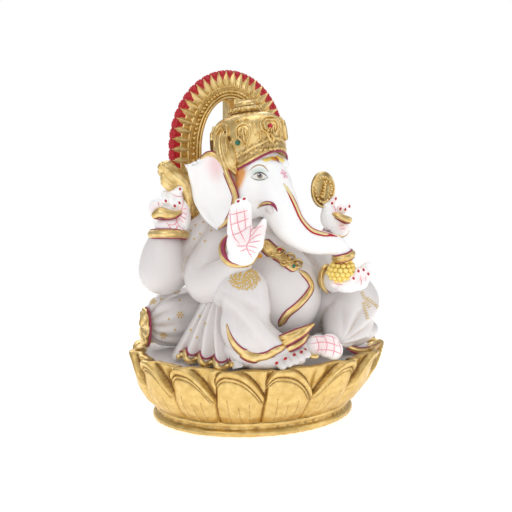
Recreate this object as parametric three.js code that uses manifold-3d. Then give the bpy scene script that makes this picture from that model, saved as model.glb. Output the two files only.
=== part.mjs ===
// A seated elephant-headed idol on an oval lotus, cast in white marble resin with gilded trim.
// Every casting is its own mesh. Units are millimetres, +Z is up, the idol faces -Y and its own left is +X.
// The origin is the middle of the underside of the plinth.
import * as THREE from "three";
import { ConvexGeometry } from "three/addons/geometries/ConvexGeometry.js";
import { mergeVertices } from "three/addons/utils/BufferGeometryUtils.js";
import Module from "manifold-3d";

const wasm = await Module();
wasm.setup();

// Driving dimensions
const HEIGHT = 250; // to the top of the halo
const PLINTH_HALF_WIDTH = 76;
const LOTUS_HALF_WIDTH = 98; // at the petal tips
const OVAL = 0.86; // depth of the base over its width
const PLINTH_TOP = 11;
const RECESS = 43; // floor of the recess that holds the seat slab
const SLAB_HALF_WIDTH = 91;
const SEAT_TOP = 50;
const PETAL_TOP = 51.5;
const JOINT_GAP = 0.35; // the bonded joint left between two castings
const HALO_BACK = 40.5;
const HALO_THICKNESS = 7;
const HALO_SPRING_Z = 192; // where the halo is widest
const HALO_HALF_WIDTH = 49;
const HALO_FOOT_Z = 132;
const HEAD_AT = [-7, -10, 178];
const CROWN_FOOT = [-6.6, -8.8, 186.6];
const CROWN_TILT = THREE.MathUtils.degToRad(10); // the crown leans back
const BAND_TILT = THREE.MathUtils.degToRad(28); // its band rises over the forehead
const CROWN_RADIUS = 24;
const EAR_THICKNESS = 6;
const EAR_SWEEP = THREE.MathUtils.degToRad(41); // each ear sweeps back from the cheek
const NECKLACE_RADIUS = 4;
const BAND_RADIUS = 2.8; // the raised gilded bands on the cloth
const BOLSTER_AT = [0, 26, 72];
const BOLSTER_RADIUS = 21.5;
const BOLSTER_HALF = 74;
const STONE_RADIUS = 2.2;
const UPRIGHT = [Math.PI / 2, 0, 0]; // turns a flat outline to stand facing the front

const MARBLE = { color: 0xe9e6e4, roughness: 0.38, metalness: 0 };
const GOLD = { color: 0xd0a24a, roughness: 0.3, metalness: 1 };
const SWEET = { color: 0xf2c230, roughness: 0.5, metalness: 0 };
const RED_STONE = { color: 0xb3101c, roughness: 0.2, metalness: 0 };
const GREEN_STONE = { color: 0x0f4a3a, roughness: 0.2, metalness: 0 };

// ---- Solids ----

// Fineness of the round shapes
const TURNED_SIDES = 28;
const BALL = { across: 14, down: 8 };
const LIMB_BALL = { across: 10, down: 6 };
const SMALL_BALL = { across: 8, down: 5 };

// A closed three.js geometry as a manifold solid.
function solid(geometry) {
  const bare = geometry.index ? geometry.toNonIndexed() : geometry.clone();
  bare.deleteAttribute("normal");
  bare.deleteAttribute("uv");
  const merged = mergeVertices(bare, 1e-3);
  return new wasm.Manifold(
    new wasm.Mesh({
      numProp: 3,
      vertProperties: merged.attributes.position.array,
      triVerts: new Uint32Array(merged.index.array),
    }),
  );
}

function largest(shape) {
  return shape.decompose().sort((a, b) => b.volume() - a.volume())[0];
}

function unite(shapes) {
  return shapes.reduce((all, one) => all.add(one));
}

function turned([x, y, z], [rx, ry, rz] = [0, 0, 0]) {
  const turn = new THREE.Quaternion().setFromEuler(new THREE.Euler(rx, ry, rz, "ZYX"));
  return new THREE.Matrix4().compose(new THREE.Vector3(x, y, z), turn, new THREE.Vector3(1, 1, 1));
}

function ellipsoid(at, [rx, ry, rz], turn, fine = BALL) {
  const ball = new THREE.SphereGeometry(1, fine.across, fine.down).rotateX(Math.PI / 2).scale(rx, ry, rz);
  return solid(ball.applyMatrix4(turned(at, turn)));
}

// A limb is a chain of round stations [x, y, z, radius], each hulled to the next.
function limb(stations, grow = 0, fine = LIMB_BALL) {
  const clouds = stations.map(([x, y, z, r]) => {
    const ball = new THREE.SphereGeometry(r + grow, fine.across, fine.down).translate(x, y, z);
    const p = ball.attributes.position;
    return Array.from({ length: p.count }, (_, i) => new THREE.Vector3().fromBufferAttribute(p, i));
  });
  return unite(clouds.slice(1).map((cloud, i) => solid(new ConvexGeometry([...clouds[i], ...cloud]))));
}

// A profile of [radius, height] pairs turned about +Z.
function turning(profile, across = TURNED_SIDES, oval = 1) {
  const points = profile.map(([r, h]) => new THREE.Vector2(r, h));
  return new THREE.LatheGeometry(points, across).rotateX(Math.PI / 2).scale(1, oval, 1);
}

function turnedPart(profile, at, turn, across = 16) {
  return solid(turning(profile, across).applyMatrix4(turned(at, turn)));
}

// A bangle: a round ring lying in its own XY plane.
function ring(at, radius, thickness, turn, grow = 0) {
  const torus = new THREE.TorusGeometry(radius, thickness + grow, 6, 14);
  return solid(torus.applyMatrix4(turned(at, turn)));
}

// A rounded strip laid along a smooth curve through the points.
function strip(points, radius, grow = 0, steps = 12, sides = 6) {
  const curve = new THREE.CatmullRomCurve3(points.map((p) => new THREE.Vector3(...p)));
  const section = new THREE.Shape().absarc(0, 0, radius + grow, 0, 2 * Math.PI);
  const along = { steps, extrudePath: curve, curveSegments: sides / 2, bevelEnabled: false };
  return solid(new THREE.ExtrudeGeometry(section, along));
}

// A flat outline in its own XY plane, given a thickness.
function plate(outline, thickness, at, turn, grow = 0, curveSegments = 6) {
  const bevel = { bevelEnabled: grow > 0, bevelSize: grow, bevelThickness: grow, bevelSegments: 1 };
  const options = { depth: thickness, curveSegments, ...bevel };
  const slab = new THREE.ExtrudeGeometry(outline, options).translate(0, 0, -thickness / 2);
  return solid(slab.applyMatrix4(turned(at, turn)));
}

// ---- Assembly: each casting is cut back from those already placed ----

const idol = new THREE.Group();
const placed = [];

function place(name, look, shape) {
  let body = shape(0);
  for (const other of placed) {
    if (body.intersect(other.keepout).volume() > 0) body = body.subtract(other.keepout);
  }
  body = largest(body);
  const mesh = body.getMesh();
  const geometry = new THREE.BufferGeometry();
  geometry.setAttribute("position", new THREE.BufferAttribute(mesh.vertProperties, 3));
  geometry.setIndex(new THREE.BufferAttribute(mesh.triVerts, 1));
  geometry.computeVertexNormals();
  const part = new THREE.Mesh(geometry, new THREE.MeshStandardMaterial(look));
  part.name = name;
  idol.add(part);
  placed.push({ name, keepout: shape(JOINT_GAP) });
}

// ---- Base ----

const plinthProfile = (g) => [
  [0, -g],
  [PLINTH_HALF_WIDTH + g, -g],
  [PLINTH_HALF_WIDTH + 0.6 + g, 4],
  [PLINTH_HALF_WIDTH - 2 + g, PLINTH_TOP - 3],
  [PLINTH_HALF_WIDTH - 2 + g, PLINTH_TOP + g],
  [0, PLINTH_TOP + g],
];
const lotusProfile = (g) => [
  [0, PLINTH_TOP + JOINT_GAP - g],
  [PLINTH_HALF_WIDTH - 2 + g, PLINTH_TOP + JOINT_GAP - g],
  [85 + g, 19],
  [92 + g, 30],
  [96 + g, 41],
  [LOTUS_HALF_WIDTH + g, PETAL_TOP + g],
  [LOTUS_HALF_WIDTH - 5 - g, PETAL_TOP + g],
  [SLAB_HALF_WIDTH + 0.6 - g, 47],
  [SLAB_HALF_WIDTH + 0.6 - g, RECESS + g],
  [0, RECESS + g],
];
const slabProfile = (g) => [
  [0, RECESS + JOINT_GAP - g],
  [SLAB_HALF_WIDTH + g, RECESS + JOINT_GAP - g],
  [SLAB_HALF_WIDTH + g, SEAT_TOP - 1],
  [SLAB_HALF_WIDTH - 1.5 + g, SEAT_TOP + g],
  [0, SEAT_TOP + g],
];
place("plinth", GOLD, (g) => solid(turning(plinthProfile(g), TURNED_SIDES, OVAL)));
place("lotus_base", GOLD, (g) => solid(turning(lotusProfile(g), TURNED_SIDES, OVAL)));
place("seat_slab", MARBLE, (g) => solid(turning(slabProfile(g), TURNED_SIDES, OVAL)));

// ---- Body ----

place("torso", MARBLE, (g) =>
  unite([
    ellipsoid([2, -22, 92], [33 + g, 38 + g, 37 + g]),
    ellipsoid([0, -8, 124], [31 + g, 30 + g, 28 + g]),
    ellipsoid([0, -2, 76], [38 + g, 26 + g, 26 + g]),
    ellipsoid([0, 16, 132], [43 + g, 24 + g, 19 + g]),
  ]),
);
place("head", MARBLE, (g) =>
  unite([
    ellipsoid(HEAD_AT, [24 + g, 27 + g, 25 + g]),
    ellipsoid([-16, -22, 160], [13 + g, 15 + g, 17 + g]),
    ellipsoid([5, -24, 160], [13 + g, 15 + g, 17 + g]),
  ]),
);
const TRUNK = [
  [-5, -32, 168, 14],
  [-4, -40, 157, 13],
  [-2.5, -47, 147, 12],
  [1, -51.5, 141, 11],
  [8, -57, 135, 9.6],
  [16, -61, 131, 8.4],
  [24, -63, 129.5, 7.4],
  [30.5, -64.5, 127, 6.4],
];
place("trunk", MARBLE, (g) => limb(TRUNK, g));
place("trunk_ring", GOLD, (g) => {
  const profile = [[0, -3 - g], [7 + g, -3 - g], [8.2 + g, 0], [7 + g, 3 + g], [0, 3 + g]];
  return turnedPart(profile, [33.5, -65.5, 121.5], [0.15, -0.35, 0]);
});

// Each ear is a shallow fan with two lobes at its top.
function earOutline() {
  const o = new THREE.Shape();
  o.moveTo(0, 22);
  o.bezierCurveTo(6, 34, 16, 33, 22, 26);
  o.bezierCurveTo(27, 22, 31, 24, 36, 22);
  o.bezierCurveTo(38, 4, 34, -14, 22, -26);
  o.bezierCurveTo(12, -34, 4, -28, 0, -8);
  return o.closePath();
}
for (const [side, x, sweep] of [["right", -23, Math.PI - EAR_SWEEP], ["left", 13, EAR_SWEEP]]) {
  const turn = [Math.PI / 2, 0, sweep];
  place(side + "_ear", MARBLE, (g) => plate(earOutline(), EAR_THICKNESS, [x, -19, 163], turn, g));
}
const RIGHT_TUSK = [[-19, -34, 157, 3.4], [-22, -40, 155, 2.6]];
const LEFT_TUSK = [[12, -35, 158, 3.4], [16, -42, 156, 2.6]];
place("right_tusk", MARBLE, (g) => limb(RIGHT_TUSK, g, SMALL_BALL));
place("left_tusk", MARBLE, (g) => limb(LEFT_TUSK, g, SMALL_BALL));

// ---- Limbs, each a list of round stations [x, y, z, radius] ----

const LIMBS = {
  right_leg: [
    [-30, -12, 76, 19],
    [-36, -49, 99, 17],
    [-36, -56, 74, 18],
    [-22, -61, 66, 13],
    [-8, -65, 61, 9],
  ],
  left_leg: [[30, -14, 76, 21], [58, -44, 86, 19], [48, -50, 70, 17], [30, -60, 68, 10]],
  right_foot: [[-20, -70, 55.5, 6], [-8, -72, 56, 6.5]],
  left_foot: [[9, -69, 65, 6.5], [21, -71, 60, 7.5]],
  right_rear_arm: [
    [-31, 14, 136, 15],
    [-50, 22, 118, 16],
    [-64, 19, 106, 17.5],
    [-65, 15, 122, 14.5],
    [-64, 13, 131, 11.5],
  ],
  right_front_arm: [[-30, -6, 132, 15], [-46, -14, 102, 16.5], [-41, -38, 108, 13], [-39, -46, 113, 10]],
  left_rear_arm: [[31, 12, 138, 15], [49, 6, 116, 13], [56, -12, 124, 9]],
  left_front_arm: [[31, -8, 134, 14], [37, -30, 118, 13], [31, -50, 106, 10]],
};
for (const [name, stations] of Object.entries(LIMBS)) {
  place(name, MARBLE, (g) => limb(stations, g));
}

// ---- Bracelets and hands ----

place("right_rear_bracelet", GOLD, (g) => ring([-64, 13, 134], 12.4, 3.2, [0, 0.1, 0], g));
place("right_front_bracelet", GOLD, (g) => ring([-38.5, -49, 124], 11.5, 3, [0.9, -0.35, 0], g));
place("left_rear_bracelet", GOLD, (g) => ring([58, -16, 130], 9.5, 2.6, [0.5, 0.2, 0], g));
place("left_front_bracelet", GOLD, (g) => ring([29, -55, 103], 10.5, 2.6, [1.1, -0.6, 0], g));

place("right_rear_hand", MARBLE, (g) =>
  limb([[-65, 12, 146, 11], [-63, 11, 156, 11], [-62, 10, 168, 6.5]], g),
);
place("right_front_hand", MARBLE, (g) =>
  unite([
    ellipsoid([-39, -53, 136], [11 + g, 7 + g, 15 + g], [0, 0, -0.45]),
    ellipsoid([-41, -50, 154], [7.5 + g, 4.5 + g, 13.5 + g], [0, 0, -0.45]),
    ellipsoid([-29, -56, 147], [4 + g, 4 + g, 10 + g], [0, 0.45, 0]),
  ]),
);
place("left_rear_hand", MARBLE, (g) =>
  limb([[57, -20, 137, 7.5], [55, -23, 146, 7.5], [52, -21, 156, 4.5]], g),
);
place("sweets", SWEET, (g) =>
  unite([
    ellipsoid([34, -65, 109], [12 + g, 10 + g, 8 + g]),
    ellipsoid([34, -65.5, 116], [5 + g, 5 + g, 5 + g]),
  ]),
);
place("left_front_hand", MARBLE, (g) =>
  unite([
    ellipsoid([36, -64, 99], [14 + g, 11 + g, 8 + g]),
    ellipsoid([49, -67, 107], [7 + g, 6 + g, 8 + g], [0, 0.4, 0]),
  ]),
);

// ---- What the rear hands hold ----

function axeOutline() {
  const o = new THREE.Shape();
  o.moveTo(-11, 8);
  o.quadraticCurveTo(-14, 3, -10, -4);
  o.quadraticCurveTo(-2, -8, 5, -22);
  o.quadraticCurveTo(15, -4, 6, 14);
  o.quadraticCurveTo(-2, 15, -11, 8);
  return o;
}
const AXE_HANDLE = [[-73, 2, 149, 3], [-58, -1, 152, 2.4]];
place("axe_head", GOLD, (g) => plate(axeOutline(), 7, [-60, 7, 172], [Math.PI / 2, 0, -0.5], g));
place("axe_handle", GOLD, (g) => limb(AXE_HANDLE, g, SMALL_BALL));

function nooseOutline() {
  return new THREE.Shape().absellipse(0, 0, 9, 14, 0, 2 * Math.PI);
}
const NOOSE_HANDLE = [[52, -31, 142, 2.2], [60, -31, 139, 2.2]];
place("noose", GOLD, (g) => plate(nooseOutline(), 6, [47, -18, 168], [Math.PI / 2, 0.2, -0.7], g, 8));
place("noose_handle", GOLD, (g) => limb(NOOSE_HANDLE, g, SMALL_BALL));

// ---- Crown ----

const crownAt = (h) => [
  CROWN_FOOT[0],
  CROWN_FOOT[1] + h * Math.sin(CROWN_TILT),
  CROWN_FOOT[2] + h * Math.cos(CROWN_TILT),
];
const crownPart = (profile, h, tilt = CROWN_TILT) => turnedPart(profile, crownAt(h), [-tilt, 0, 0], 20);

// A place on the crown's side, at an angle from its front and a height and radius of its own.
function onCrown(degrees, h, radius) {
  const angle = THREE.MathUtils.degToRad(degrees);
  const forward = radius * Math.cos(angle);
  const [x, y, z] = crownAt(h);
  return [
    x + radius * Math.sin(angle),
    y - forward * Math.cos(CROWN_TILT),
    z + forward * Math.sin(CROWN_TILT),
  ];
}

place("crown_band", GOLD, (g) => {
  const r = CROWN_RADIUS + g;
  return crownPart([[0, -1 - g], [r + 0.5, -1 - g], [r + 1, 3], [r + 0.5, 7 + g], [0, 7 + g]], 0, BAND_TILT);
});
place("crown_body", GOLD, (g) => {
  const r = CROWN_RADIUS + g;
  return crownPart([[0, -g], [r, -g], [r, 28], [r - 5, 34 + g], [r - 12, 37 + g], [0, 37 + g]], -6);
});
place("crown_tier", GOLD, (g) =>
  crownPart([[0, -g], [9 + g, -g], [9 + g, 1], [11 + g, 2.5], [10 + g, 4.8 + g], [0, 4.8 + g]], 31.5),
);
place("crown_knob", GOLD, (g) =>
  crownPart([[0, -g], [5 + g, -g], [7.3 + g, 1.6], [6.5 + g, 3.4], [4 + g, 4.6 + g], [0, 4.8 + g]], 36.7),
);
const RIGHT_FLAP = [[-26.6, -11, 205.5, 4.5], [-30.4, -15.5, 192, 6.5], [-28.5, -21, 180, 3.6]];
const LEFT_FLAP = [[9.5, 0.6, 205.5, 4.5], [15.2, -0.7, 192, 6.5], [17, -7, 180, 3.6]];
place("crown_right_flap", GOLD, (g) => limb(RIGHT_FLAP, g, SMALL_BALL));
place("crown_left_flap", GOLD, (g) => limb(LEFT_FLAP, g, SMALL_BALL));

// ---- Halo ----

// Half-widths of the arch at its crown, spring line and feet. The feet draw in behind the shoulders.
function archOutline(halfWidth, rise, footHalfWidth, footZ) {
  const o = new THREE.Shape();
  o.moveTo(-footHalfWidth, footZ);
  o.quadraticCurveTo(-halfWidth, (footZ + HALO_SPRING_Z) / 2, -halfWidth, HALO_SPRING_Z);
  o.absellipse(0, HALO_SPRING_Z, halfWidth, rise, Math.PI, 0, true);
  o.quadraticCurveTo(halfWidth, (footZ + HALO_SPRING_Z) / 2, footHalfWidth, footZ);
  return o.closePath();
}
const HOLE = { halfWidth: 25, rise: 38, footHalfWidth: 20, footZ: HALO_FOOT_Z - 10 };
const POST = { x: 4, width: 17, depth: 19, foot: 142, height: 87 };
const haloAt = [0, HALO_BACK - HALO_THICKNESS / 2, 0];
place("halo_arch", GOLD, (g) => {
  const rise = HEIGHT - HALO_SPRING_Z;
  const outer = archOutline(HALO_HALF_WIDTH, rise, 40, HALO_FOOT_Z);
  const inner = archOutline(HOLE.halfWidth - g, HOLE.rise - g, HOLE.footHalfWidth, HOLE.footZ);
  const disc = plate(outer, HALO_THICKNESS, haloAt, UPRIGHT, g, 12);
  return disc.subtract(plate(inner, 3 * HALO_THICKNESS, haloAt, UPRIGHT, 0, 10));
});
place("halo_post", GOLD, (g) => {
  const bar = new THREE.BoxGeometry(POST.width + 2 * g, POST.depth + 2 * g, POST.height + 2 * g);
  return solid(bar.translate(POST.x, HALO_BACK - POST.depth / 2 - 1, POST.foot + POST.height / 2));
});

// ---- Ornaments ----

const TRIMS = {
  necklace: {
    radius: NECKLACE_RADIUS,
    route: [[-24, -24, 143], [-13, -42, 130], [-2, -52, 121], [12, -44, 126], [24, -26, 142]],
  },
  sacred_thread: {
    radius: BAND_RADIUS,
    route: [[2, -50, 122], [8, -58, 110], [6, -62, 100], [-6, -62, 90], [-16, -56, 80]],
  },
  waist_clasp: {
    radius: 5,
    route: [[-10, -63, 67], [0, -64, 68], [9, -62, 75], [16, -56, 81]],
  },
  right_hem: {
    radius: BAND_RADIUS,
    route: [[-56, -48, 74], [-50, -62, 60], [-38, -72, 57], [-22, -72, 60], [-8, -70, 68]],
  },
  left_hem: {
    radius: 2.5,
    route: [[36, -70, 68], [44, -71, 58], [58, -69, 55], [72, -60, 56], [80, -40, 58]],
  },
  left_anklet: {
    radius: 2,
    route: [[-1, -75, 53.5], [4, -75.5, 53.5], [9, -75, 53.5]],
  },
};
for (const [name, { radius, route }] of Object.entries(TRIMS)) {
  place(name, GOLD, (g) => strip(route, radius, g));
}

function sashOutline() {
  const o = new THREE.Shape();
  o.moveTo(-5, 38);
  o.lineTo(5, 38);
  o.quadraticCurveTo(8, 14, 20, 0);
  o.lineTo(-19, 0);
  o.quadraticCurveTo(-8, 14, -5, 38);
  return o;
}
const SASH_TURN = [Math.PI / 2, 0, -1.1];
const SASH_HEM = [[-73, -14, 54], [-69, -24, 56], [-65, -34, 54], [-61, -44, 56], [-56, -54, 54]];
place("sash", MARBLE, (g) => plate(sashOutline(), 7, [-60, -32, 54], SASH_TURN, g));
place("sash_hem", GOLD, (g) => strip(SASH_HEM, BAND_RADIUS, g));

// ---- Bolster behind the hips ----

const bolsterTurn = [0, Math.PI / 2, 0];
place("bolster", MARBLE, (g) => {
  const profile = [
    [0, -BOLSTER_HALF - g],
    [14 + g, -BOLSTER_HALF - g],
    [19 + g, -BOLSTER_HALF + 8],
    [BOLSTER_RADIUS + g, -BOLSTER_HALF + 22],
    [BOLSTER_RADIUS + g, BOLSTER_HALF - 22],
    [19 + g, BOLSTER_HALF - 8],
    [14 + g, BOLSTER_HALF + g],
    [0, BOLSTER_HALF + g],
  ];
  return turnedPart(profile, BOLSTER_AT, bolsterTurn, 18);
});
for (const [side, s] of [["right", -1], ["left", 1]]) {
  place("bolster_" + side + "_cap", GOLD, (g) => {
    const [x, y, z] = BOLSTER_AT;
    const profile = [[0, -2.5 - g], [14 + g, -2.5 - g], [14 + g, 1], [9 + g, 2.5 + g], [0, 3.5 + g]];
    const at = [x + s * (BOLSTER_HALF + 2.5 + JOINT_GAP), y, z];
    return turnedPart(profile, at, [0, (s * Math.PI) / 2, 0]);
  });
}

// ---- Stones ----

function stone(name, look, at) {
  place(name, look, (g) => ellipsoid(at, Array(3).fill(STONE_RADIUS + g), [0, 0, 0], SMALL_BALL));
}
stone("crown_red_stone", RED_STONE, onCrown(5, 19, CROWN_RADIUS + 0.4));
stone("crown_green_stone", GREEN_STONE, onCrown(-46, 13, CROWN_RADIUS + 0.4));
stone("necklace_red_stone", RED_STONE, [-11, -48, 131]);
stone("necklace_green_stone", GREEN_STONE, [2, -57, 121]);
stone("waist_green_stone", GREEN_STONE, [0, -66.5, 66]);

export default idol;
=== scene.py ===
# %% [markdown]
# # A seated elephant-headed idol in white marble resin and gold leaf
# The idol is a casting of marble dust and resin, about 250 mm tall, painted and gilded by hand.
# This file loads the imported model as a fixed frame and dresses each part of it. Work is in
# millimetres until a piece is finished, because hand sizes are easier to read that way.

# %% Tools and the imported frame
import math

import bmesh
import bpy
import numpy as np
from mathutils import Euler, Matrix, Vector
from mathutils.bvhtree import BVHTree


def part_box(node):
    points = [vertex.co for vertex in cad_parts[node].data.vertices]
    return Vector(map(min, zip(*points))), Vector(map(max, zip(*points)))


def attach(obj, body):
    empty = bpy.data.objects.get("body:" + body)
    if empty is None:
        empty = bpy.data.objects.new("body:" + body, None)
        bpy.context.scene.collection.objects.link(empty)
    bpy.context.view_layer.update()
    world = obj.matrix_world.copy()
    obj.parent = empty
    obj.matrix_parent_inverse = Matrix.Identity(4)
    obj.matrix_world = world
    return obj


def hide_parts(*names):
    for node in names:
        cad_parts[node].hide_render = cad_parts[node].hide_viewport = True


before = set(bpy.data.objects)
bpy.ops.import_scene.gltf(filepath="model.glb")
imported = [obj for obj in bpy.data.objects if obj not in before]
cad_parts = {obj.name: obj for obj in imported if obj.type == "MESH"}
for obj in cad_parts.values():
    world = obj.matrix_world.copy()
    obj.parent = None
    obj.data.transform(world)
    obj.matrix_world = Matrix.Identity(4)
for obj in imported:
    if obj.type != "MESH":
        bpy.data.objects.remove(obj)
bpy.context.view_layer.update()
MM = 0.001

# %% [markdown]
# ## Camera, light and floor
# A product picture is taken with a long lens from a little above. The world is bright to the
# camera but greyer to reflections, so that the gold has something dark to reflect between the
# soft boxes. An evenly white world would make gold look like yellow plastic.

# %% The camera
VIEW_TARGET = Vector((0, 0, 115.5)) * MM
VIEW_FROM = Vector((-350, -606.2, 212)) * MM
LENS = 68.06
LEVEL_AHEAD = Vector((0.5, 0.866, 0))  # the level direction away from the camera
camera_data = bpy.data.cameras.new("camera")
camera_data.lens = LENS
camera_data.shift_x = 0.0045
camera_data.clip_start = 0.01
camera = bpy.data.objects.new("camera", camera_data)
camera.location = VIEW_FROM
camera.rotation_euler = (VIEW_TARGET - VIEW_FROM).to_track_quat("-Z", "Y").to_euler()
bpy.context.scene.collection.objects.link(camera)
bpy.context.scene.camera = camera
bpy.context.scene.view_settings.view_transform = "Standard"
print("camera", (VIEW_TARGET - VIEW_FROM).length, "m from its target")

# %% [markdown]
# ## The soft boxes
# Gold shows what it reflects, so the lights are large. An area light is a glowing rectangle: its
# size sets how soft the shadow edge and how broad the highlight are, and its energy how bright.
# One on the left models the form, one in front fills it, and one behind draws the edges out.

# %% The soft boxes
def soft_box(name, place, size, power, aim=(0, 0, 0.12), tint=(1, 1, 1)):
    light = bpy.data.lights.new(name, "AREA")
    light.shape = "RECTANGLE"
    light.size, light.size_y = size
    light.energy = power
    light.color = tint
    lamp = bpy.data.objects.new(name, light)
    lamp.location = place
    lamp.rotation_euler = (Vector(aim) - Vector(place)).to_track_quat("-Z", "Y").to_euler()
    bpy.context.scene.collection.objects.link(lamp)


soft_box("key_box", (-0.95, -0.7, 0.95), (0.8, 0.7), 3.1)
soft_box("fill_box", (0.95, -0.75, 0.5), (0.5, 0.9), 2.2)
soft_box("top_box", (0.0, 0.1, 1.25), (0.9, 0.6), 2.7)
soft_box("front_card", (-0.5, -1.7, 0.35), (1.5, 1.1), 3.9)
soft_box("rear_box", (0.3, 1.1, 0.8), (0.9, 0.6), 4)

# %% [markdown]
# ## The surroundings
# A Background shader lights the scene from everywhere. Mixed by the Light Path node, it can be
# white for what the camera sees directly and a quieter grey for light and reflections.

# %% The world
world = bpy.data.worlds.new("studio")
bpy.context.scene.world = world
world.use_nodes = True
sky = world.node_tree
sky.nodes.clear()
seen = sky.nodes.new("ShaderNodeLightPath")
studio_grey = sky.nodes.new("ShaderNodeBackground")
studio_grey.inputs[0].default_value = (0.98, 0.975, 0.98, 1)
studio_grey.inputs[1].default_value = 0.56
backdrop_white = sky.nodes.new("ShaderNodeBackground")
backdrop_white.inputs[0].default_value = (1, 1, 1, 1)
backdrop_white.inputs[1].default_value = 1.0
choose = sky.nodes.new("ShaderNodeMixShader")
world_out = sky.nodes.new("ShaderNodeOutputWorld")
sky.links.new(seen.outputs["Is Camera Ray"], choose.inputs[0])
sky.links.new(studio_grey.outputs[0], choose.inputs[1])
sky.links.new(backdrop_white.outputs[0], choose.inputs[2])
sky.links.new(choose.outputs[0], world_out.inputs[0])
print("world:", len(sky.nodes), "nodes")

# %% [markdown]
# ## Finishes
# A finish is a small graph of nodes. Sums and products of sockets are easier to read as
# arithmetic, so a thin wrapper turns `1 - mask` into a Math node.

# %% Arithmetic on sockets
class Socket:
    """An output socket that takes part in Python arithmetic."""

    def __init__(self, tree, end):
        self.tree = tree
        self.end = end

    def join(self, operation, first, second):
        math_node = self.tree.nodes.new("ShaderNodeMath")
        math_node.operation = operation
        for slot, value in zip(math_node.inputs, (first, second)):
            plug(self.tree, slot, value)
        return Socket(self.tree, math_node.outputs[0])

    def __add__(self, other):
        return self.join("ADD", self, other)

    def __radd__(self, other):
        return self.join("ADD", other, self)

    def __sub__(self, other):
        return self.join("SUBTRACT", self, other)

    def __rsub__(self, other):
        return self.join("SUBTRACT", other, self)

    def __mul__(self, other):
        return self.join("MULTIPLY", self, other)

    def __rmul__(self, other):
        return self.join("MULTIPLY", other, self)

    def clipped(self):
        return self.join("MINIMUM", self.join("MAXIMUM", self, 0.0), 1.0)


def plug(tree, slot, value):
    if isinstance(value, Socket):
        tree.links.new(value.end, slot)
    elif isinstance(value, tuple) and len(value) == 3 and slot.type == "RGBA":
        slot.default_value = (*value, 1)
    else:
        slot.default_value = value


class Finish:
    """A Principled material with a few helpers."""

    def __init__(self, name, **constants):
        self.material = bpy.data.materials.new(name)
        self.material.use_nodes = True
        self.tree = self.material.node_tree
        self.shader = self.tree.nodes["Principled BSDF"]
        for key, value in constants.items():
            plug(self.tree, self.shader.inputs[key.replace("_", " ")], value)

    def node(self, kind, settings=(), out=0, **slots):
        made = self.tree.nodes.new("ShaderNode" + kind)
        for key, value in dict(settings).items():
            setattr(made, key, value)
        for key, value in slots.items():
            plug(self.tree, made.inputs[key.replace("_", " ")], value)
        return Socket(self.tree, made.outputs[out])

    def attribute(self, name):
        return self.node("Attribute", {"attribute_name": name}, out="Fac")

    def noise(self, size_mm, detail=2.0, stretch=None):
        place = self.node("TexCoord", out="Object")
        if stretch:
            place = self.node("Mapping", Vector=place, Scale=stretch)
        settings = {"noise_dimensions": "3D"}
        scale = 1 / (size_mm * MM)
        return self.node("TexNoise", settings, out="Fac", Vector=place, Scale=scale, Detail=detail)

    def blend(self, factor, low, high):
        mixer = self.tree.nodes.new("ShaderNodeMix")
        mixer.data_type = "RGBA"
        plug(self.tree, mixer.inputs[0], factor)
        plug(self.tree, mixer.inputs[6], low)
        plug(self.tree, mixer.inputs[7], high)
        return Socket(self.tree, mixer.outputs[2])

    def bump(self, height, depth_mm, strength=1.0):
        normal = self.node("Bump", out="Normal", Height=height, Distance=depth_mm * MM, Strength=strength)
        plug(self.tree, self.shader.inputs["Normal"], normal)

    def feed(self, **sockets):
        for key, value in sockets.items():
            plug(self.tree, self.shader.inputs[key.replace("_", " ")], value)


print("a socket wrapper and a finish maker, drawn in parts of", MM, "m")

# %% [markdown]
# ## Marble resin
# The body is marble dust bound in resin: white, faintly warm, with light that travels a little
# way in and comes out soft. Subsurface scattering gives that. A thin brown wash is wiped over
# the casting and stays in the creases, and painted shade darkens the hollows and the spaces between
# forms; both are mixed in by an attribute that says how deep each point lies, and flesh tints are
# brushed on through a second attribute.

# %% White marble resin
def make_marble():
    f = Finish("marble_white", Subsurface_Weight=0.18, Subsurface_Scale=0.004)
    f.shader.inputs["Subsurface Radius"].default_value = (1.0, 0.75, 0.6)
    wash_and_shade = f.attribute("wash_and_shade")
    mottle = f.noise(7.0, 4.0)
    # Crease depth darkens the marble to brown: partly the real wash, partly painted shade in the hollows.
    stain_and_shade = (wash_and_shade * (0.6 + 1.0 * mottle)).clipped()
    base = f.blend(stain_and_shade, (0.735, 0.70, 0.69), (0.44, 0.31, 0.21))
    painted = f.node("Attribute", {"attribute_name": "paint"}, out="Color")
    cover = f.attribute("cover")
    base = f.blend(cover.clipped(), base, painted)
    f.feed(Base_Color=base, Roughness=0.3 + 0.12 * f.noise(2.5))
    f.bump(f.noise(3.0, 3.0), 0.05)
    return f.material


print("the marble recipe takes a wash, a paint and a cover attribute")

# %% [markdown]
# ## Gold leaf
# Leaf gold is a metal, but thin, rubbed and glazed. The colour drifts between two golds in
# patches, and in the recesses a dark glaze together with painted shade makes it browner, rougher
# and less metallic.
# A fine bump breaks the highlights up as hammered leaf does.

# %% Gold leaf
def make_gold(name, mid, bright, recess, roughness=0.3):
    f = Finish(name)
    wash_and_shade = f.attribute("wash_and_shade")
    mottle = f.noise(5.0, 5.0)
    leaf = f.blend((mottle * 1.7 - 0.45).clipped(), mid, bright)
    # In the creases the gold turns to the dark recess colour: a real glaze and painted shade together.
    aged_and_shaded = (wash_and_shade * 1.3 + (f.noise(1.6, 3.0) - 0.62) * 1.2).clipped()
    f.feed(Base_Color=f.blend(aged_and_shaded, leaf, recess))
    f.feed(Metallic=1 - 0.45 * aged_and_shaded, Roughness=roughness + 0.14 * mottle + 0.25 * aged_and_shaded)
    f.bump(f.noise(1.1, 4.0), 0.12)
    return f.material


print("the gold recipe takes two golds and a glaze")

# %% [markdown]
# ## Paints
# Lips, nails, henna and outlines are brushed on. A paint is one colour with a slightly darker
# one in patches, as a brush leaves it, and a little grain. All paints share one recipe.

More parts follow.
